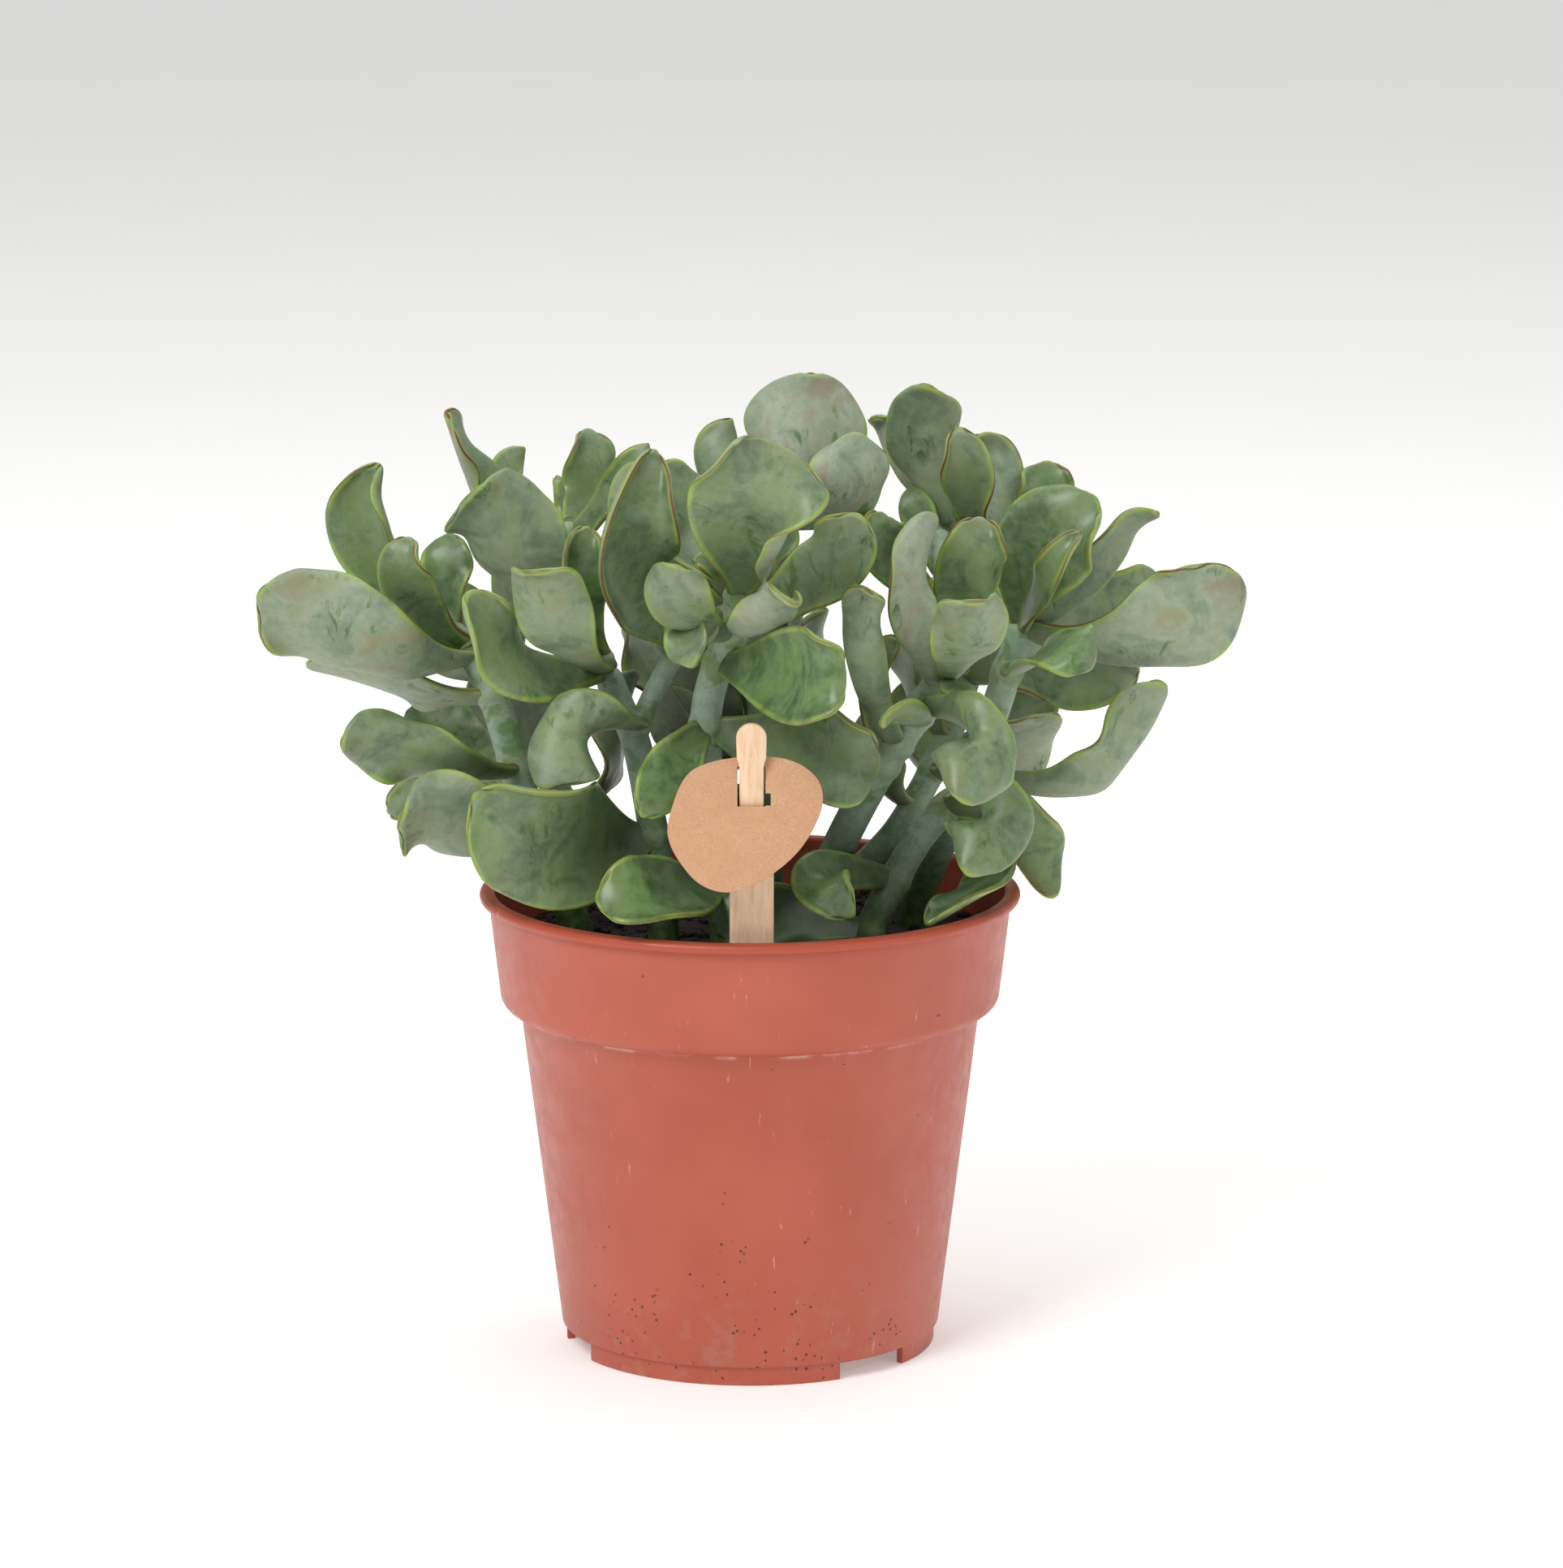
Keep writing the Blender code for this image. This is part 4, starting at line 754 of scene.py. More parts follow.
# %% [markdown]
# ## Making a stem
# A succulent's stem is a smooth rod with a raised ring wherever a pair of leaves sits or
# has fallen. A grid is rolled into a tube along the stem's line: one side of the grid goes
# round, the other goes along. The tube swells at each ring and tapers toward its tip,
# which closes to a small dome.

# %% Stem meshes
STEM_SIDES = 16
STEM_STEP = 1.2
RING_SWELL = 0.16
RING_SPREAD = 1.3
STEM_TAPER = 0.12
STEM_MARKS = ("ring", "height_mm", "shade")


def even_line(line, step):
    # The line resampled so that its points lie about one step apart.
    line = np.array(line)
    lengths = np.linalg.norm(np.diff(line, axis=0), axis=1)
    walked = np.concatenate(([0.0], np.cumsum(lengths)))
    count = max(4, int(round(walked[-1] / step)))
    places = np.linspace(0.0, walked[-1], count + 1)
    return np.stack([np.interp(places, walked, line[:, i]) for i in range(3)], axis=1), places


def soften(line, rounds):
    # Each inner point moves half way to the middle of its neighbours.
    for turn in range(rounds):
        line = line.copy()
        line[1:-1] = 0.5 * line[1:-1] + 0.25 * (line[:-2] + line[2:])
    return line


def add_stem(work, line, thickness, rings, marks):
    centre, walked = even_line(line, STEM_STEP)
    centre = soften(centre, 6)
    tangent = unit(np.gradient(centre, axis=0))
    first = unit(np.cross(tangent, np.array([0.0, 1.0, 0.1])))
    second = np.cross(tangent, first)
    swell = np.zeros(len(walked))
    for ring in rings:
        away = np.linalg.norm(centre - ring, axis=1)
        swell = np.maximum(swell, np.exp(-(away / RING_SPREAD) ** 2))
    share = walked / walked[-1]
    radius = 0.5 * thickness * (1.0 + STEM_TAPER * (0.5 - share)) * (1.0 + RING_SWELL * swell)
    to_tip = walked[-1] - walked
    dome = np.clip(1.0 - to_tip / (0.5 * thickness), 0.0, 1.0)
    radius = radius * np.sqrt(np.maximum(0.0, 1.0 - dome ** 2))
    shade = inner_shade(centre)
    grid = bmesh.ops.create_grid(work, x_segments=STEM_SIDES, y_segments=len(walked) - 1, size=1.0)
    for vert in grid["verts"]:
        row = int(round((0.5 + 0.5 * vert.co.y) * (len(walked) - 1)))
        angle = math.pi * vert.co.x
        spot = centre[row] + radius[row] * (math.cos(angle) * first[row] + math.sin(angle) * second[row])
        vert.co = spot * MM
        vert[marks["ring"]] = swell[row]
        vert[marks["height_mm"]] = spot[2]
        vert[marks["shade"]] = shade[row]
    bmesh.ops.remove_doubles(work, verts=grid["verts"], dist=0.01 * MM)


def make_stem(name, leaves, material):
    work = bmesh.new()
    marks = {mark: work.verts.layers.float.new(mark) for mark in STEM_MARKS}
    runs = stem_runs(name)
    rings = [leaf["root"] for leaf in leaves]
    for i, (thick, line) in enumerate(runs):
        if i == 0:
            foot = np.array(line[0])
            foot[2] = SOIL_TOP - ROOT_DEPTH
            line = [foot] + line
        add_stem(work, line, thick, rings, marks)
    open_ends = [edge for edge in work.edges if edge.is_boundary]
    bmesh.ops.holes_fill(work, edges=open_ends, sides=STEM_SIDES + 1)
    piece = finish_mesh(name + "_stem", work, material)
    return stands_for(piece, name)


print("leaf and stem makers ready")

# %% [markdown]
# ## The leaf's finish
# The skin of the leaf is green and carries a bloom: a grey-blue wax, thick on the under
# face and thinner on the upper one. Fingers and water rub it off in patches, which show
# darker and shinier. Toward the margin the green turns to lime, and the very edge is a
# thin maroon line, stronger on leaves that had more sun. Fine dots are the leaf's pores.
# Light enters the leaf a little, so thin parts glow: that is the subsurface weight. A real
# plant this size is denser inside than the model, and dark there. That shade is painted
# on by a leaf's distance from the plant's heart, so it stays when the light changes.

# %% Leaf finish
GREEN_UPPER = "#5F8440"
GREEN_DEEP = "#38551F"
WAX_PALE = "#9FA894"
WAX_BLUE = "#80917D"
WAX_WARM = "#9C917B"
LIME = "#8DA645"
MAROON = "#70302F"
BROWN = "#6B4F42"
SHADED = "#16210E"
INNER_DARK = 0.9
PATCH_MM = 10.0
MOTTLE_MM = 2.4
STREAK_MM = 3.6
PORE_MM = 1.44
EDGE_BAND_MM = 1.15


def leaf_finish():
    material, tree, shader, where = new_material("waxy_jade_leaf", 0.45, 1.45)
    mark = {name: add(tree, "Attribute", {"attribute_name": name}).outputs["Fac"]
            for name in LEAF_MARKS}
    patches = add(tree, "TexNoise", {}, {"Vector": where, "Scale": per_size(PATCH_MM), "Detail": 3.0,
                                         "Roughness": 0.6, "Distortion": 0.8})
    mottle = add(tree, "TexNoise", {}, {"Vector": where, "Scale": per_size(MOTTLE_MM), "Detail": 5.0,
                                        "Roughness": 0.65})
    # The living skin, deeper on some stretches, under the wax
    lit = add(tree, "MapRange", SMOOTH, (patches, 0.35, 0.65, 0.0, 1.0))
    skin = add(tree, "Mix", COLOURS, {0: lit, 6: GREEN_DEEP, 7: GREEN_UPPER})
    skin = glaze(tree, skin, [(mottle, 0.35, "#4A6B2E")])
    bloom_tone = add(tree, "ValToRGB", {}, (patches,),
                     ((0.3, WAX_BLUE), (0.5, WAX_PALE), (0.72, WAX_WARM)))
    # The bloom is thick on the under face and thin on the upper one
    upper = add(tree, "MapRange", SMOOTH, (mark["upper"], 0.35, 0.65, 0.0, 1.0))
    amount = add(tree, "MapRange", SMOOTH, (upper, 0.0, 1.0, 0.86, 0.38))
    amount = add(tree, "Math", TIMES, (amount, mark["wax"]))
    uneven = add(tree, "MapRange", SMOOTH, (mottle, 0.3, 0.7, -0.10, 0.12))
    amount = add(tree, "Math", PLUS, (amount, uneven))
    # Fingers and drops wiped it off in streaks with ragged ends
    turned = add(tree, "Mapping", {}, {"Vector": where, "Rotation": (0.4, 0.7, 0.5),
                                       "Scale": (1.0, 1.0, 0.4)})
    streaks = add(tree, "TexNoise", {}, {"Vector": turned, "Scale": per_size(STREAK_MM),
                                         "Detail": 5.0, "Roughness": 0.62, "Distortion": 0.9})
    areas = add(tree, "TexNoise", {}, {"Vector": where, "Scale": per_size(16.0), "Detail": 2.0,
                                       "Roughness": 0.5})
    streaks = add(tree, "MapRange", SMOOTH, (streaks, 0.56, 0.64, 0.0, 1.0))
    areas = add(tree, "MapRange", SMOOTH, (areas, 0.46, 0.58, 0.0, 1.0))
    wiped = add(tree, "Math", TIMES, (add(tree, "Math", TIMES, (streaks, areas)), 0.75))
    left = add(tree, "Math", {"operation": "SUBTRACT"}, (1.0, wiped))
    amount = add(tree, "Math", {"operation": "MULTIPLY", "use_clamp": True}, (amount, left))
    # Older tips are a little brown, the margin is lime, its very edge maroon, the plant's
    # inside is darkened with painted shade, and the pores are fine dots
    tan = add(tree, "MapRange", SMOOTH, (patches, 0.42, 0.62, 0.0, 0.45))
    tan = add(tree, "Math", TIMES, (mark["blush"], tan))
    near_tip = add(tree, "MapRange", SMOOTH, (mark["along"], 0.75, 1.0, 0.0, 1.0))
    near_edge = add(tree, "MapRange", SMOOTH, (mark["margin_mm"], EDGE_BAND_MM, 0.1, 0.0, 1.0))
    limy = add(tree, "MapRange", SMOOTH, (patches, 0.3, 0.6, 0.2, 0.75))
    rim = add(tree, "MapRange", SMOOTH, (mark["rim"], 0.35, 0.8, 0.0, 1.0))
    pores = add(tree, "TexVoronoi", {"feature": "F1"}, {"Vector": where, "Scale": per_size(PORE_MM)})
    dots = add(tree, "MapRange", SMOOTH, (pores, 0.16, 0.08, 0.0, 1.0))
    colour = glaze(tree, skin, [(amount, 1.0, bloom_tone), (near_tip, tan, BROWN),
                                (near_edge, limy, LIME), (rim, mark["blush"], MAROON),
                                (mark["shade"], INNER_DARK, SHADED), (dots, 0.3, GREEN_DEEP)])
    matt = add(tree, "Math", PLUS, (amount, add(tree, "Math", TIMES, (mottle, 0.2))))
    bump = add(tree, "Bump", {}, {"Height": mottle, "Distance": 0.15 * MM, "Strength": 0.5})
    fill(tree, shader, {"Base Color": colour, "Normal": bump, "Subsurface Weight": 0.12,
                        "Subsurface Radius": (0.5, 1.0, 0.25), "Subsurface Scale": 2.5 * MM,
                        "Roughness": add(tree, "MapRange", SMOOTH, (matt, 0.1, 0.9, 0.28, 0.52))})
    return material


def stem_finish():
    # Young stems wear the same wax; older wood low down is darker and browner.
    material, tree, shader, where = new_material("waxy_jade_stem", 0.5, 1.45)
    mark = {name: add(tree, "Attribute", {"attribute_name": name}).outputs["Fac"]
            for name in STEM_MARKS}
    mottle = add(tree, "TexNoise", {}, {"Vector": where, "Scale": per_size(2.0), "Detail": 5.0,
                                        "Roughness": 0.65})
    patches = add(tree, "TexNoise", {}, {"Vector": where, "Scale": per_size(7.0), "Detail": 3.0,
                                         "Roughness": 0.6, "Distortion": 0.6})
    pale = add(tree, "MapRange", SMOOTH, (mottle, 0.3, 0.7, 0.0, 1.0))
    young = add(tree, "Mix", COLOURS, {0: pale, 6: "#88A08A", 7: "#A2B49C"})
    green = add(tree, "Mix", COLOURS, {0: mottle, 6: "#5C7F42", 7: "#739257"})
    worn = add(tree, "MapRange", SMOOTH, (patches, 0.52, 0.62, 0.0, 0.8))
    young = glaze(tree, young, [(worn, 1.0, green)])
    light = add(tree, "MapRange", SMOOTH, (mottle, 0.35, 0.65, 0.0, 1.0))
    old = add(tree, "Mix", COLOURS, {0: light, 6: "#39512A", 7: "#57703F"})
    high = add(tree, "MapRange", SMOOTH, (mark["height_mm"], 98.0, 124.0, 0.0, 1.0))
    # Deep inside the plant the stems are darkened with painted shade, as the leaves are
    colour = glaze(tree, old, [(high, 1.0, young), (mark["ring"], 0.45, "#8FA06A"),
                               (mark["shade"], 0.5, SHADED)])
    bump = add(tree, "Bump", {}, {"Height": mottle, "Distance": 0.2 * MM, "Strength": 0.6})
    fill(tree, shader, {"Base Color": colour, "Normal": bump, "Subsurface Weight": 0.1,
                        "Subsurface Radius": (0.6, 1.0, 0.4), "Subsurface Scale": 2.0 * MM})
    return material


leaf_skin = leaf_finish()
stem_skin = stem_finish()
print("leaf and stem finishes ready")

# %% [markdown]
# ## Growing the plant
# Each leaf now gets its own draws: how waxy it is, and how much its edge blushes. Young
# leaves near the top keep more wax, and low leaves in the shade are greener.

# %% Grow every stem
LOOKS_SEED = 11
SHADY_BELOW = 100.0
LIGHT_SPAN = 70.0


def grow_plant():
    rng = random.Random(SEED)
    looks = random.Random(LOOKS_SEED)
    for name in list(STEMS) + list(BACK_STEMS):
        leaves = leaf_records(name, rng)
        for leaf in leaves:
            low = 1.0 - min(1.0, max(0.0, (leaf["tip"][2] - SHADY_BELOW) / LIGHT_SPAN))
            leaf["wax"] = min(1.0, max(0.15, looks.uniform(0.5, 1.05) - 0.35 * low))
            leaf["blush"] = looks.uniform(0.25, 1.0) * (1.0 - 0.4 * low)
        stem = make_stem(name, leaves, stem_skin)
        blades = make_leaves(name, leaves, leaf_skin)
        print(name, len(leaves), "leaves,", len(blades.data.polygons), "faces before rounding,",
              len(stem.data.polygons), "stem faces")


grow_plant()

# %% [markdown]
# ## The pot
# A grower's pot is moulded in thin plastic: a tapered cup with a wide collar, so that
# pots stack, a small rolled lip, and a low foot ring cut by notches that let water out.
# Its outline is spun round the axis. The notches and drain holes are then cut, which is
# how the mould makes them too: as gaps in the plastic.

# %% Pot outline


def body_radius(height):
    # The pot's outer radius at a height below the collar.
    return BASE_RADIUS + (BODY_TOP_RADIUS - BASE_RADIUS) * height / COLLAR_FOOT_HEIGHT


def collar_radius(height):
    rise = (height - COLLAR_FOOT_HEIGHT) / (POT_HEIGHT - LIP_HEIGHT - COLLAR_FOOT_HEIGHT)
    return COLLAR_FOOT_RADIUS + (COLLAR_TOP_RADIUS - COLLAR_FOOT_RADIUS) * rise


def arc(centre, radius, start, end, steps):
    # Points of a round edge in the outline, between two angles in degrees.
    angles = [math.radians(start + (end - start) * i / steps) for i in range(steps + 1)]
    return [(centre[0] + radius * math.cos(a), centre[1] + radius * math.sin(a)) for a in angles]


def pot_outline():
    # From the axis on the floor's upper side, up the inside, over the lip and down.
    lip_low = POT_HEIGHT - LIP_HEIGHT
    floor_top = FOOT_HEIGHT + FLOOR_THICKNESS
    inner_lip = COLLAR_TOP_RADIUS - WALL
    round_centre = (collar_radius(COLLAR_FOOT_HEIGHT + COLLAR_ROUND) - COLLAR_ROUND,
                    COLLAR_FOOT_HEIGHT + COLLAR_ROUND)
    foot_outer = BASE_RADIUS - FOOT_INSET
    points = [(0.0, floor_top), (body_radius(floor_top) - WALL - 1.0, floor_top)]
    points += arc((body_radius(floor_top) - WALL - 1.0, floor_top + 1.0), 1.0, -90.0, 0.0, 3)[1:]
    points += [(body_radius(COLLAR_FOOT_HEIGHT) - WALL, COLLAR_FOOT_HEIGHT + WALL)]
    points += arc(round_centre, COLLAR_ROUND - WALL, -90.0, 0.0, 5)
    points += [(inner_lip, lip_low)]
    points += arc((inner_lip + 0.9, POT_HEIGHT - 0.9), 0.9, 180.0, 90.0, 4)
    points += arc((RIM_RADIUS - 1.2, POT_HEIGHT - 1.2), 1.2, 90.0, -60.0, 8)
    points += [(COLLAR_TOP_RADIUS + 0.25, lip_low - 0.1), (COLLAR_TOP_RADIUS, lip_low - 0.5)]
    points += arc(round_centre, COLLAR_ROUND, 0.0, -90.0, 8)
    points += [(body_radius(COLLAR_FOOT_HEIGHT) + 0.5, COLLAR_FOOT_HEIGHT),
               (body_radius(COLLAR_FOOT_HEIGHT) + 0.1, COLLAR_FOOT_HEIGHT - 0.4)]
    points += [(body_radius(FOOT_HEIGHT + 0.6), FOOT_HEIGHT + 0.6),
               (body_radius(FOOT_HEIGHT + 0.2) - 0.1, FOOT_HEIGHT + 0.2), (foot_outer, FOOT_HEIGHT)]
    points += arc((foot_outer - 0.5, 0.5), 0.5, 0.0, -90.0, 3)
    points += [(foot_outer - FOOT_WALL, 0.0), (foot_outer - FOOT_WALL, FOOT_HEIGHT),
               (0.0, FOOT_HEIGHT)]
    return points


def spun(work, outline, steps):
    # Spin an outline in the XZ plane once round the Z axis and close it.
    verts = [work.verts.new((radius * MM, 0.0, height * MM)) for radius, height in outline]
    edges = [work.edges.new(pair) for pair in zip(verts[:-1], verts[1:])]
    bmesh.ops.spin(work, geom=verts + edges, cent=(0, 0, 0), axis=(0, 0, 1), dvec=(0, 0, 0),
                   angle=2.0 * math.pi, steps=steps, use_merge=True, use_duplicate=False)
    bmesh.ops.remove_doubles(work, verts=work.verts, dist=0.002 * MM)


def cut(piece, cutter_work):
    # Cut a shape out of the piece for good, and clear the cutter away.
    mesh = bpy.data.meshes.new("cutter")
    bmesh.ops.recalc_face_normals(cutter_work, faces=cutter_work.faces)
    cutter_work.to_mesh(mesh)
    cutter_work.free()
    cutter = bpy.data.objects.new("cutter", mesh)
    bpy.context.scene.collection.objects.link(cutter)
    step = piece.modifiers.new("cut", "BOOLEAN")
    step.operation = "DIFFERENCE"
    step.solver = "EXACT"
    step.object = cutter
    keep_shape(piece)
    bpy.data.objects.remove(cutter)
    bpy.data.meshes.remove(mesh)


def keep_shape(piece):
    # The piece's mesh becomes what its modifiers make of it.
    graph = bpy.context.evaluated_depsgraph_get()
    mesh = bpy.data.meshes.new_from_object(piece.evaluated_get(graph))
    piece.modifiers.clear()
    piece.data = mesh


def soften_edges(piece, width_mm, sharper_than):
    # Round every edge that turns by more than that many degrees.
    edges = piece.modifiers.new("soft_edges", "BEVEL")
    edges.width = width_mm * MM
    edges.segments = 2
    edges.limit_method = "ANGLE"
    edges.angle_limit = math.radians(sharper_than)
    keep_shape(piece)
    piece.data.shade_smooth()


def add_block(work, size, centre):
    # A block of that size about that place, in millimetres.
    block = bmesh.ops.create_cube(work, size=1.0)["verts"]
    bmesh.ops.scale(work, verts=block, vec=[side * MM for side in size])
    bmesh.ops.translate(work, verts=block, vec=[place * MM for place in centre])
    return block


def make_pot(material):
    work = bmesh.new()
    spun(work, pot_outline(), POT_STEPS)
    pot = finish_mesh("moulded_pot", work, material)
    cutters = bmesh.new()
    half = BASE_RADIUS * math.sin(math.radians(0.5 * NOTCH_WIDTH))
    for angle in NOTCH_ANGLES:
        block = add_block(cutters, (2.0 * half, NOTCH_DEPTH, FOOT_HEIGHT + 4.6),
                          (0.0, 1.5 - BASE_RADIUS, 0.5 * (FOOT_HEIGHT - 5.4)))
        bmesh.ops.rotate(cutters, verts=block, cent=(0, 0, 0),
                         matrix=Matrix.Rotation(math.radians(angle), 3, "Z"))
    for i in range(DRAIN_COUNT):
        angle = 2.0 * math.pi * (i + 0.5) / DRAIN_COUNT
        hole = bmesh.ops.create_cone(cutters, cap_ends=True, segments=32, radius1=DRAIN_RADIUS * MM,
                                     radius2=DRAIN_RADIUS * MM, depth=(FLOOR_THICKNESS + 4.0) * MM)
        bmesh.ops.translate(cutters, verts=hole["verts"],
                            vec=(DRAIN_RING * math.cos(angle) * MM, DRAIN_RING * math.sin(angle) * MM,
                                 (FOOT_HEIGHT + 0.5 * FLOOR_THICKNESS) * MM))
    cut(pot, cutters)
    soften_edges(pot, POT_EDGE, 50.0)
    return stands_for(pot, "nursery_pot")


# %% [markdown]
# ## The pot's finish
# The pot is polypropylene coloured like terracotta, straight from the mould: satin, with
# a very fine grain, a faint flow pattern, a slightly purer orange painted on the thin lip
# as light passing through it, soil dust low down and in the corner under the collar, and
# pale scuffs.

# %% Pot finish
LIP_LOW = 98.5
LIP_FULL = 100.8
BODY_LINE_LOW = 75.4
BODY_LINE_HIGH = 76.6
BODY_LINE_END = 77.5
DUST_TOP = 36.0
DUST_FULL = 2.0
GRAINS_TOP = 50.0
CLOUD_MM = 28.0
MOULD_GRAIN_MM = 0.8
GRAIN_MM = 1.7


def pot_finish():
    material, tree, shader, where = new_material("moulded_polypropylene_terracotta", 0.42, 1.49)
    height = add(tree, "SeparateXYZ", {}, (where,)).outputs["Z"]
    noises = {}
    for name, size, detail, rough in (
            ("cloud", CLOUD_MM, 3.0, 0.5), ("fine", MOULD_GRAIN_MM, 2.0, 0.5), ("gaps", 9.0, 3.0, 0.6),
            ("dust", 5.0, 6.0, 0.7), ("clumps", 7.0, 4.0, 0.7), ("rubbed", 20.0, 2.0, 0.5)):
        noises[name] = add(tree, "TexNoise", {}, {"Vector": where, "Scale": per_size(size),
                                                  "Detail": detail, "Roughness": rough})
    fill(tree, noises["clumps"], {"Distortion": 0.5})
    cloud = add(tree, "MapRange", SMOOTH, (noises["cloud"], 0.3, 0.7, 0.0, 1.0))
    colour = add(tree, "Mix", COLOURS, {0: cloud, 6: "#AC503A", 7: "#B55843"})
    # Painted light: a slightly purer orange on the thin lip stands in for light passing through it
    lip = add(tree, "MapRange", SMOOTH, (height, LIP_LOW * MM, LIP_FULL * MM, 0.0, 1.0))
    # A faint chalky line where the body meets the collar, broken by noise
    below = add(tree, "MapRange", SMOOTH, (height, BODY_LINE_LOW * MM, BODY_LINE_HIGH * MM, 0.0, 1.0))
    above = add(tree, "MapRange", SMOOTH, (height, BODY_LINE_END * MM, BODY_LINE_HIGH * MM, 0.0, 1.0))
    broken = add(tree, "MapRange", SMOOTH, (noises["gaps"], 0.45, 0.62, 0.0, 1.0))
    chalk = add(tree, "Math", TIMES, (add(tree, "Math", TIMES, (below, above)), broken))
    # Pale dust and splashes low on the body
    low = add(tree, "MapRange", SMOOTH, (height, DUST_TOP * MM, DUST_FULL * MM, 0.0, 1.0))
    dusty = add(tree, "MapRange", SMOOTH, (noises["dust"], 0.48, 0.66, 0.0, 1.0))
    dust = add(tree, "Math", TIMES, (low, dusty))
    # Grains of dark soil stuck on, thick near the foot and rare higher up
    grains = add(tree, "TexVoronoi", {"feature": "F1"}, {"Vector": where, "Scale": per_size(GRAIN_MM)})
    grain = add(tree, "MapRange", SMOOTH, (grains, 0.27, 0.13, 0.0, 1.0))
    wanted = add(tree, "MapRange", SMOOTH, (height, 0.0, GRAINS_TOP * MM, 0.525, 0.67))
    here = add(tree, "Math", {"operation": "GREATER_THAN"}, (noises["clumps"], wanted))
    stuck = add(tree, "Math", TIMES, (grain, here))
    # Pale scuffs: short upright scratches in a few rubbed places
    drawn = add(tree, "Mapping", {}, {"Vector": where, "Scale": (1.0, 1.0, 0.12)})
    scratches = add(tree, "TexNoise", {}, {"Vector": drawn, "Scale": per_size(1.6), "Detail": 5.0,
                                           "Roughness": 0.7})
    scratches = add(tree, "MapRange", SMOOTH, (scratches, 0.64, 0.72, 0.0, 1.0))
    rubbed = add(tree, "MapRange", SMOOTH, (noises["rubbed"], 0.5, 0.6, 0.0, 1.0))
    scuff = add(tree, "Math", TIMES, (scratches, rubbed))
    colour = glaze(tree, colour, [(lip, 0.75, "#A8452B"), (chalk, 0.7, "#DDB3A4"),
                                  (dust, 0.4, "#A8796A"), (stuck, 0.85, "#2E1C14"),
                                  (scuff, 0.75, "#DDAA98")])
    bump = add(tree, "Bump", {}, {"Height": noises["fine"], "Distance": 0.03 * MM, "Strength": 0.35})
    fill(tree, shader, {"Base Color": colour, "Normal": bump, "Subsurface Weight": 0.06,
                        "Subsurface Radius": (1.0, 0.35, 0.2), "Subsurface Scale": 1.5 * MM,
                        "Roughness": add(tree, "MapRange", SMOOTH,
                                         (noises["dust"], 0.3, 0.7, 0.34, 0.5))})
    return material


pot = make_pot(pot_finish())
print("pot faces:", len(pot.data.polygons))

# %% [markdown]
# ## The soil
# Potting soil is peat and bark: a dark, crumbly bed a finger's breadth under the rim,
# with small lumps and a few pale bits. The bed is a spun disc whose top is shaped with
# noise, and some hundreds of small crumbs lie on it, turned and sized by seeded draws.

# %% Soil
SOIL_RINGS = 26
SOIL_RELIEF = 1.3
SOIL_SWELL = 0.6
SOIL_SWELL_REACH = 55.0
SOIL_SINK = 0.3
LUMP_PITCH = 0.09
CLOD_PITCH = 0.35
SOIL_SIDES = 96
SOIL_DEPTH = 6.0
CRUMB_SEED = 5
CRUMBS = 900
CRUMB_RADIUS = (0.5, 1.9)


def soil_height(x, y):
    # The bed's top in millimetres at a place in millimetres.
    spot = Vector((x * LUMP_PITCH, y * LUMP_PITCH, 3.0))
    fine = Vector((x * CLOD_PITCH, y * CLOD_PITCH, 7.0))
    edge = min(1.0, math.hypot(x, y) / SOIL_SWELL_REACH)
    return (SOIL_TOP + SOIL_SWELL * (1.0 - edge) + SOIL_RELIEF * noise.noise(spot)
            + 0.5 * SOIL_RELIEF * noise.noise(fine) - SOIL_SINK)


def make_soil(material):
    work = bmesh.new()
    edge_radius = collar_radius(SOIL_TOP) - WALL - GAP
    outline = [(edge_radius * i / SOIL_RINGS, SOIL_TOP) for i in range(SOIL_RINGS + 1)]
    outline += [(edge_radius - 0.3, SOIL_TOP - SOIL_DEPTH), (0.0, SOIL_TOP - SOIL_DEPTH)]
    spun(work, outline, SOIL_SIDES)
    for vert in work.verts:
        if vert.co.z > (SOIL_TOP - 1.0) * MM:
            vert.co.z = soil_height(vert.co.x / MM, vert.co.y / MM) * MM
    draw = random.Random(CRUMB_SEED)
    for i in range(CRUMBS):
        away = edge_radius * 0.97 * math.sqrt(draw.random())
        turn = draw.uniform(0.0, 2.0 * math.pi)
        x, y = away * math.cos(turn), away * math.sin(turn)
        size = draw.uniform(*CRUMB_RADIUS) * draw.random() ** 0.5 + 0.25
        lump = bmesh.ops.create_icosphere(work, subdivisions=1, radius=size * MM)["verts"]
        stretch = (draw.uniform(0.7, 1.5), draw.uniform(0.7, 1.2), draw.uniform(0.5, 0.8))
        bmesh.ops.scale(work, verts=lump, vec=stretch)
        for vert in lump:
            vert.co *= draw.uniform(0.75, 1.15)
        bmesh.ops.rotate(work, verts=lump, cent=(0, 0, 0),
                         matrix=Matrix.Rotation(draw.uniform(0.0, 6.28), 3, "Z"))
        height = soil_height(x, y) + 0.2 * size
        bmesh.ops.translate(work, verts=lump, vec=(x * MM, y * MM, height * MM))
    soil = finish_mesh("crumbly_soil", work, material, smooth=False)
    return stands_for(soil, "potting_soil")


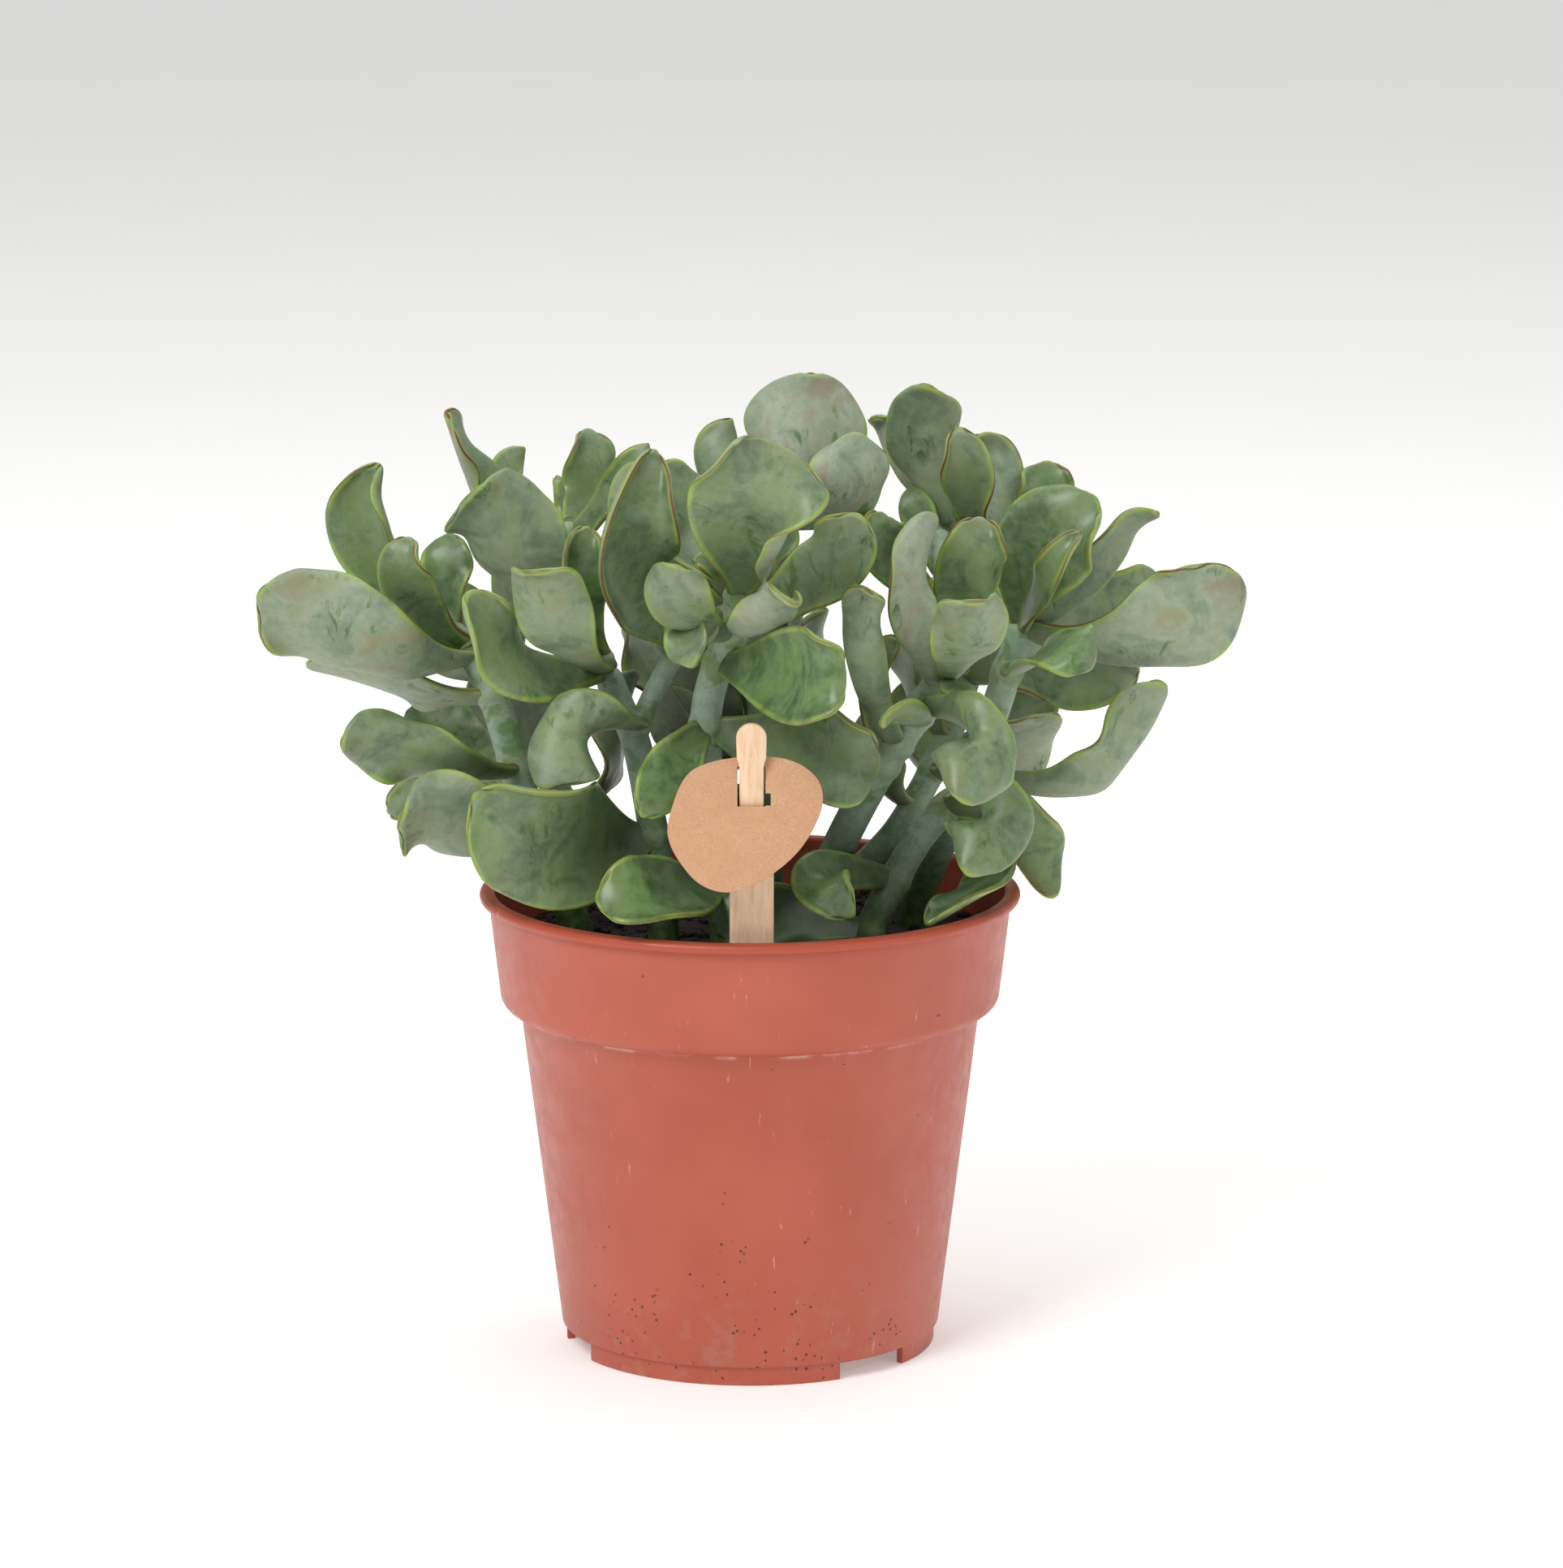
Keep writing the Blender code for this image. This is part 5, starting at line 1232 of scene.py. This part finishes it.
def soil_finish():
    material, tree, shader, where = new_material("damp_potting_soil", 0.9)
    lumps = add(tree, "TexNoise", {}, {"Vector": where, "Scale": per_size(3.0), "Detail": 6.0,
                                       "Roughness": 0.7})
    flecks = add(tree, "TexNoise", {}, {"Vector": where, "Scale": per_size(1.1), "Detail": 2.0,
                                        "Roughness": 0.5})
    colour = add(tree, "ValToRGB", {}, (lumps,),
                 ((0.3, "#100A08"), (0.55, "#241812"), (0.75, "#3A281C")))
    flecks = add(tree, "MapRange", SMOOTH, (flecks, 0.70, 0.74, 0.0, 1.0))
    bump = add(tree, "Bump", {}, {"Height": lumps, "Distance": 0.8 * MM, "Strength": 0.8})
    fill(tree, shader, {"Base Color": glaze(tree, colour, [(flecks, 1.0, "#7A624A")]), "Normal": bump})
    return material


soil = make_soil(soil_finish())
print("soil faces:", len(soil.data.polygons))

# %% [markdown]
# ## The stake and its tag
# The stake is die-cut from a thin sheet of pale birch: straight sides, a waist and a
# rounded head. The tag is grey-brown kraft board, cut to a rounded, nearly three-cornered
# shape, with a slit that slips over the stake's waist. Both outlines are filled, given
# their thickness, softened at the edges, and leant as they stand in the pot.

# %% Stake and tag shapes


def rounded_outline(points, rounds=3):
    # Cut every corner of a closed outline again and again until it is smooth.
    points = [Vector(point) for point in points]
    for turn in range(rounds):
        after = points[1:] + points[:1]
        points = [p for a, b in zip(points, after) for p in (a.lerp(b, 0.25), a.lerp(b, 0.75))]
    return [tuple(point) for point in points]


def board_work(outline, thickness):
    # A flat board with that outline in the XZ plane, centred on Y = 0.
    work = bmesh.new()
    verts = [work.verts.new((right * MM, -0.5 * thickness * MM, up * MM)) for right, up in outline]
    face = work.faces.new(verts)
    grown = bmesh.ops.extrude_face_region(work, geom=[face], use_keep_orig=True)["geom"]
    back = [item for item in grown if isinstance(item, bmesh.types.BMVert)]
    bmesh.ops.translate(work, verts=back, vec=(0.0, thickness * MM, 0.0))
    return work


def lean_back(verts, degrees, height):
    # Lean upright work back about a line across it at that height.
    angle = math.radians(degrees)
    for vert in verts:
        depth, up = vert.co.y, vert.co.z - height * MM
        vert.co.y = depth * math.cos(angle) + up * math.sin(angle)
        vert.co.z = up * math.cos(angle) - depth * math.sin(angle) + height * MM


def stand_as_stake(verts):
    # The stake leans a little toward the front, about the level of the rim.
    lean_back(verts, -STAKE_LEAN, POT_HEIGHT)
    for vert in verts:
        vert.co.x += STAKE_RIGHT * MM
        vert.co.y += STAKE_DEPTH * MM


def stake_outline():
    # Half outline from the soil to the rounded head, mirrored.
    neck = 0.5 * STAKE_NECK_WIDTH
    head = 0.5 * STAKE_HEAD_WIDTH
    half = [(0.8, STAKE_FOOT), (0.5 * STAKE_WIDTH, STAKE_FOOT + 12.0),
            (0.5 * STAKE_WIDTH, STAKE_SHOULDER - 0.6), (0.5 * STAKE_WIDTH - 0.2, STAKE_SHOULDER),
            (0.5 * STAKE_WIDTH - 0.8, STAKE_SHOULDER + 0.5), (neck + 0.6, STAKE_NECK_LOW - 1.2),
            (neck + 0.15, STAKE_NECK_LOW - 0.5), (neck, STAKE_NECK_LOW), (neck, STAKE_NECK_HIGH),
            (neck + 0.2, STAKE_NECK_HIGH + 0.9), (head - 0.1, STAKE_NECK_HIGH + 2.0)]
    half += arc((0.0, STAKE_TOP - head), head, 0.0, 84.0, 12)
    return half + [(0.0, STAKE_TOP)] + [(-right, up) for right, up in reversed(half)]


def make_stake(material):
    work = board_work(stake_outline(), STAKE_THICKNESS)
    stand_as_stake(work.verts)
    stake = finish_mesh("birch_stake", work, material)
    soften_edges(stake, 0.25, 40.0)
    return stands_for(stake, "plant_stake")


def stand_as_tag(verts):
    lean_back(verts, TAG_LEAN, 0.0)
    for vert in verts:
        vert.co.z += 0.5 * (STAKE_NECK_LOW + STAKE_NECK_HIGH) * MM
    stand_as_stake(verts)


def make_tag(material):
    work = board_work(rounded_outline(TAG_OUTLINE), TAG_THICKNESS)
    tag = finish_mesh("board_tag", work, material)
    lean = math.radians(TAG_LEAN)
    slit_height = (STAKE_THICKNESS + 2.0 * GAP) / math.sin(lean) + TAG_THICKNESS / math.tan(lean) + 0.2
    # Slit and notch overlap, so each is cut on its own
    for size, centre in (((TAG_SLIT_WIDTH, TAG_CUT_DEPTH, slit_height),
                          (TAG_SLIT_LEFT + 0.5 * TAG_SLIT_WIDTH, 0.0, 0.0)),
                         ((TAG_NOTCH_WIDTH, TAG_CUT_DEPTH, TAG_NOTCH_HEIGHT),
                          (TAG_NOTCH_RIGHT, 0.0, TAG_NOTCH_UP - 0.5 * slit_height))):
        cutter = bmesh.new()
        add_block(cutter, size, centre)
        cut(tag, cutter)
    stand_as_tag(tag.data.vertices)
    soften_edges(tag, 0.2, 40.0)
    return stands_for(tag, "stake_tag")


# %% [markdown]
# ## Wood and board
# Birch shows a pale, straight grain: fine streaks along the stick and a few short darker
# flecks. Kraft board is pressed paper, warm brown with short fibres lying every way. Both
# are matte.

# %% Wood and board finishes


def wood_finish():
    material, tree, shader, where = new_material("sanded_birch", 0.62)
    long_way = add(tree, "Mapping", {}, {"Vector": where, "Scale": (1.0, 1.0, 0.05)})
    grain = add(tree, "TexNoise", {}, {"Vector": long_way, "Scale": per_size(1.1), "Detail": 5.0,
                                       "Roughness": 0.6})
    short_way = add(tree, "Mapping", {}, {"Vector": where, "Scale": (1.0, 1.0, 0.25)})
    fleck = add(tree, "TexNoise", {}, {"Vector": short_way, "Scale": per_size(0.7), "Detail": 2.0,
                                       "Roughness": 0.5})
    fleck = add(tree, "MapRange", SMOOTH, (fleck, 0.66, 0.74, 0.0, 1.0))
    colour = add(tree, "ValToRGB", {}, (grain,),
                 ((0.3, "#D6AE88"), (0.5, "#E4C2A0"), (0.7, "#EACDB0")))
    bump = add(tree, "Bump", {}, {"Height": grain, "Distance": 0.06 * MM, "Strength": 0.5})
    fill(tree, shader, {"Base Color": glaze(tree, colour, [(fleck, 0.4, "#C08F68")]), "Normal": bump})
    return material


def board_finish():
    material, tree, shader, where = new_material("kraft_board", 0.8)
    fibres = add(tree, "TexNoise", {}, {"Vector": where, "Scale": per_size(0.7), "Detail": 6.0,
                                        "Roughness": 0.7, "Distortion": 2.5})
    cloud = add(tree, "TexNoise", {}, {"Vector": where, "Scale": per_size(6.0), "Detail": 2.0,
                                       "Roughness": 0.5})
    cloud = add(tree, "MapRange", SMOOTH, (cloud, 0.35, 0.7, 0.0, 0.25))
    colour = add(tree, "ValToRGB", {}, (fibres,),
                 ((0.28, "#A97C5A"), (0.5, "#C69874"), (0.72, "#D2A988")))
    bump = add(tree, "Bump", {}, {"Height": fibres, "Distance": 0.05 * MM, "Strength": 0.5})
    fill(tree, shader, {"Base Color": glaze(tree, colour, [(cloud, 1.0, "#BB8A66")]), "Normal": bump})
    return material


stake = make_stake(wood_finish())
tag = make_tag(board_finish())
print("stake faces:", len(stake.data.polygons), "tag faces:", len(tag.data.polygons))

# %% [markdown]
# ## Floor finish
# The floor is a matte, nearly white card.

# %% Floor finish
FLOOR_GLOW = 0.25


def floor_finish():
    material, tree, shader, where = new_material("matte_white_card", 0.9)
    cloud = add(tree, "TexNoise", {}, {"Vector": where, "Scale": per_size(60.0), "Detail": 2.0,
                                       "Roughness": 0.5})
    colour = add(tree, "Mix", COLOURS, {0: cloud, 6: "#F2F1EF", 7: "#F6F5F3"})
    fill(tree, shader, {"Base Color": colour, "Emission Color": (1.0, 1.0, 1.0, 1.0),
                        "Emission Strength": FLOOR_GLOW})
    return material


floor.data.materials.append(floor_finish())
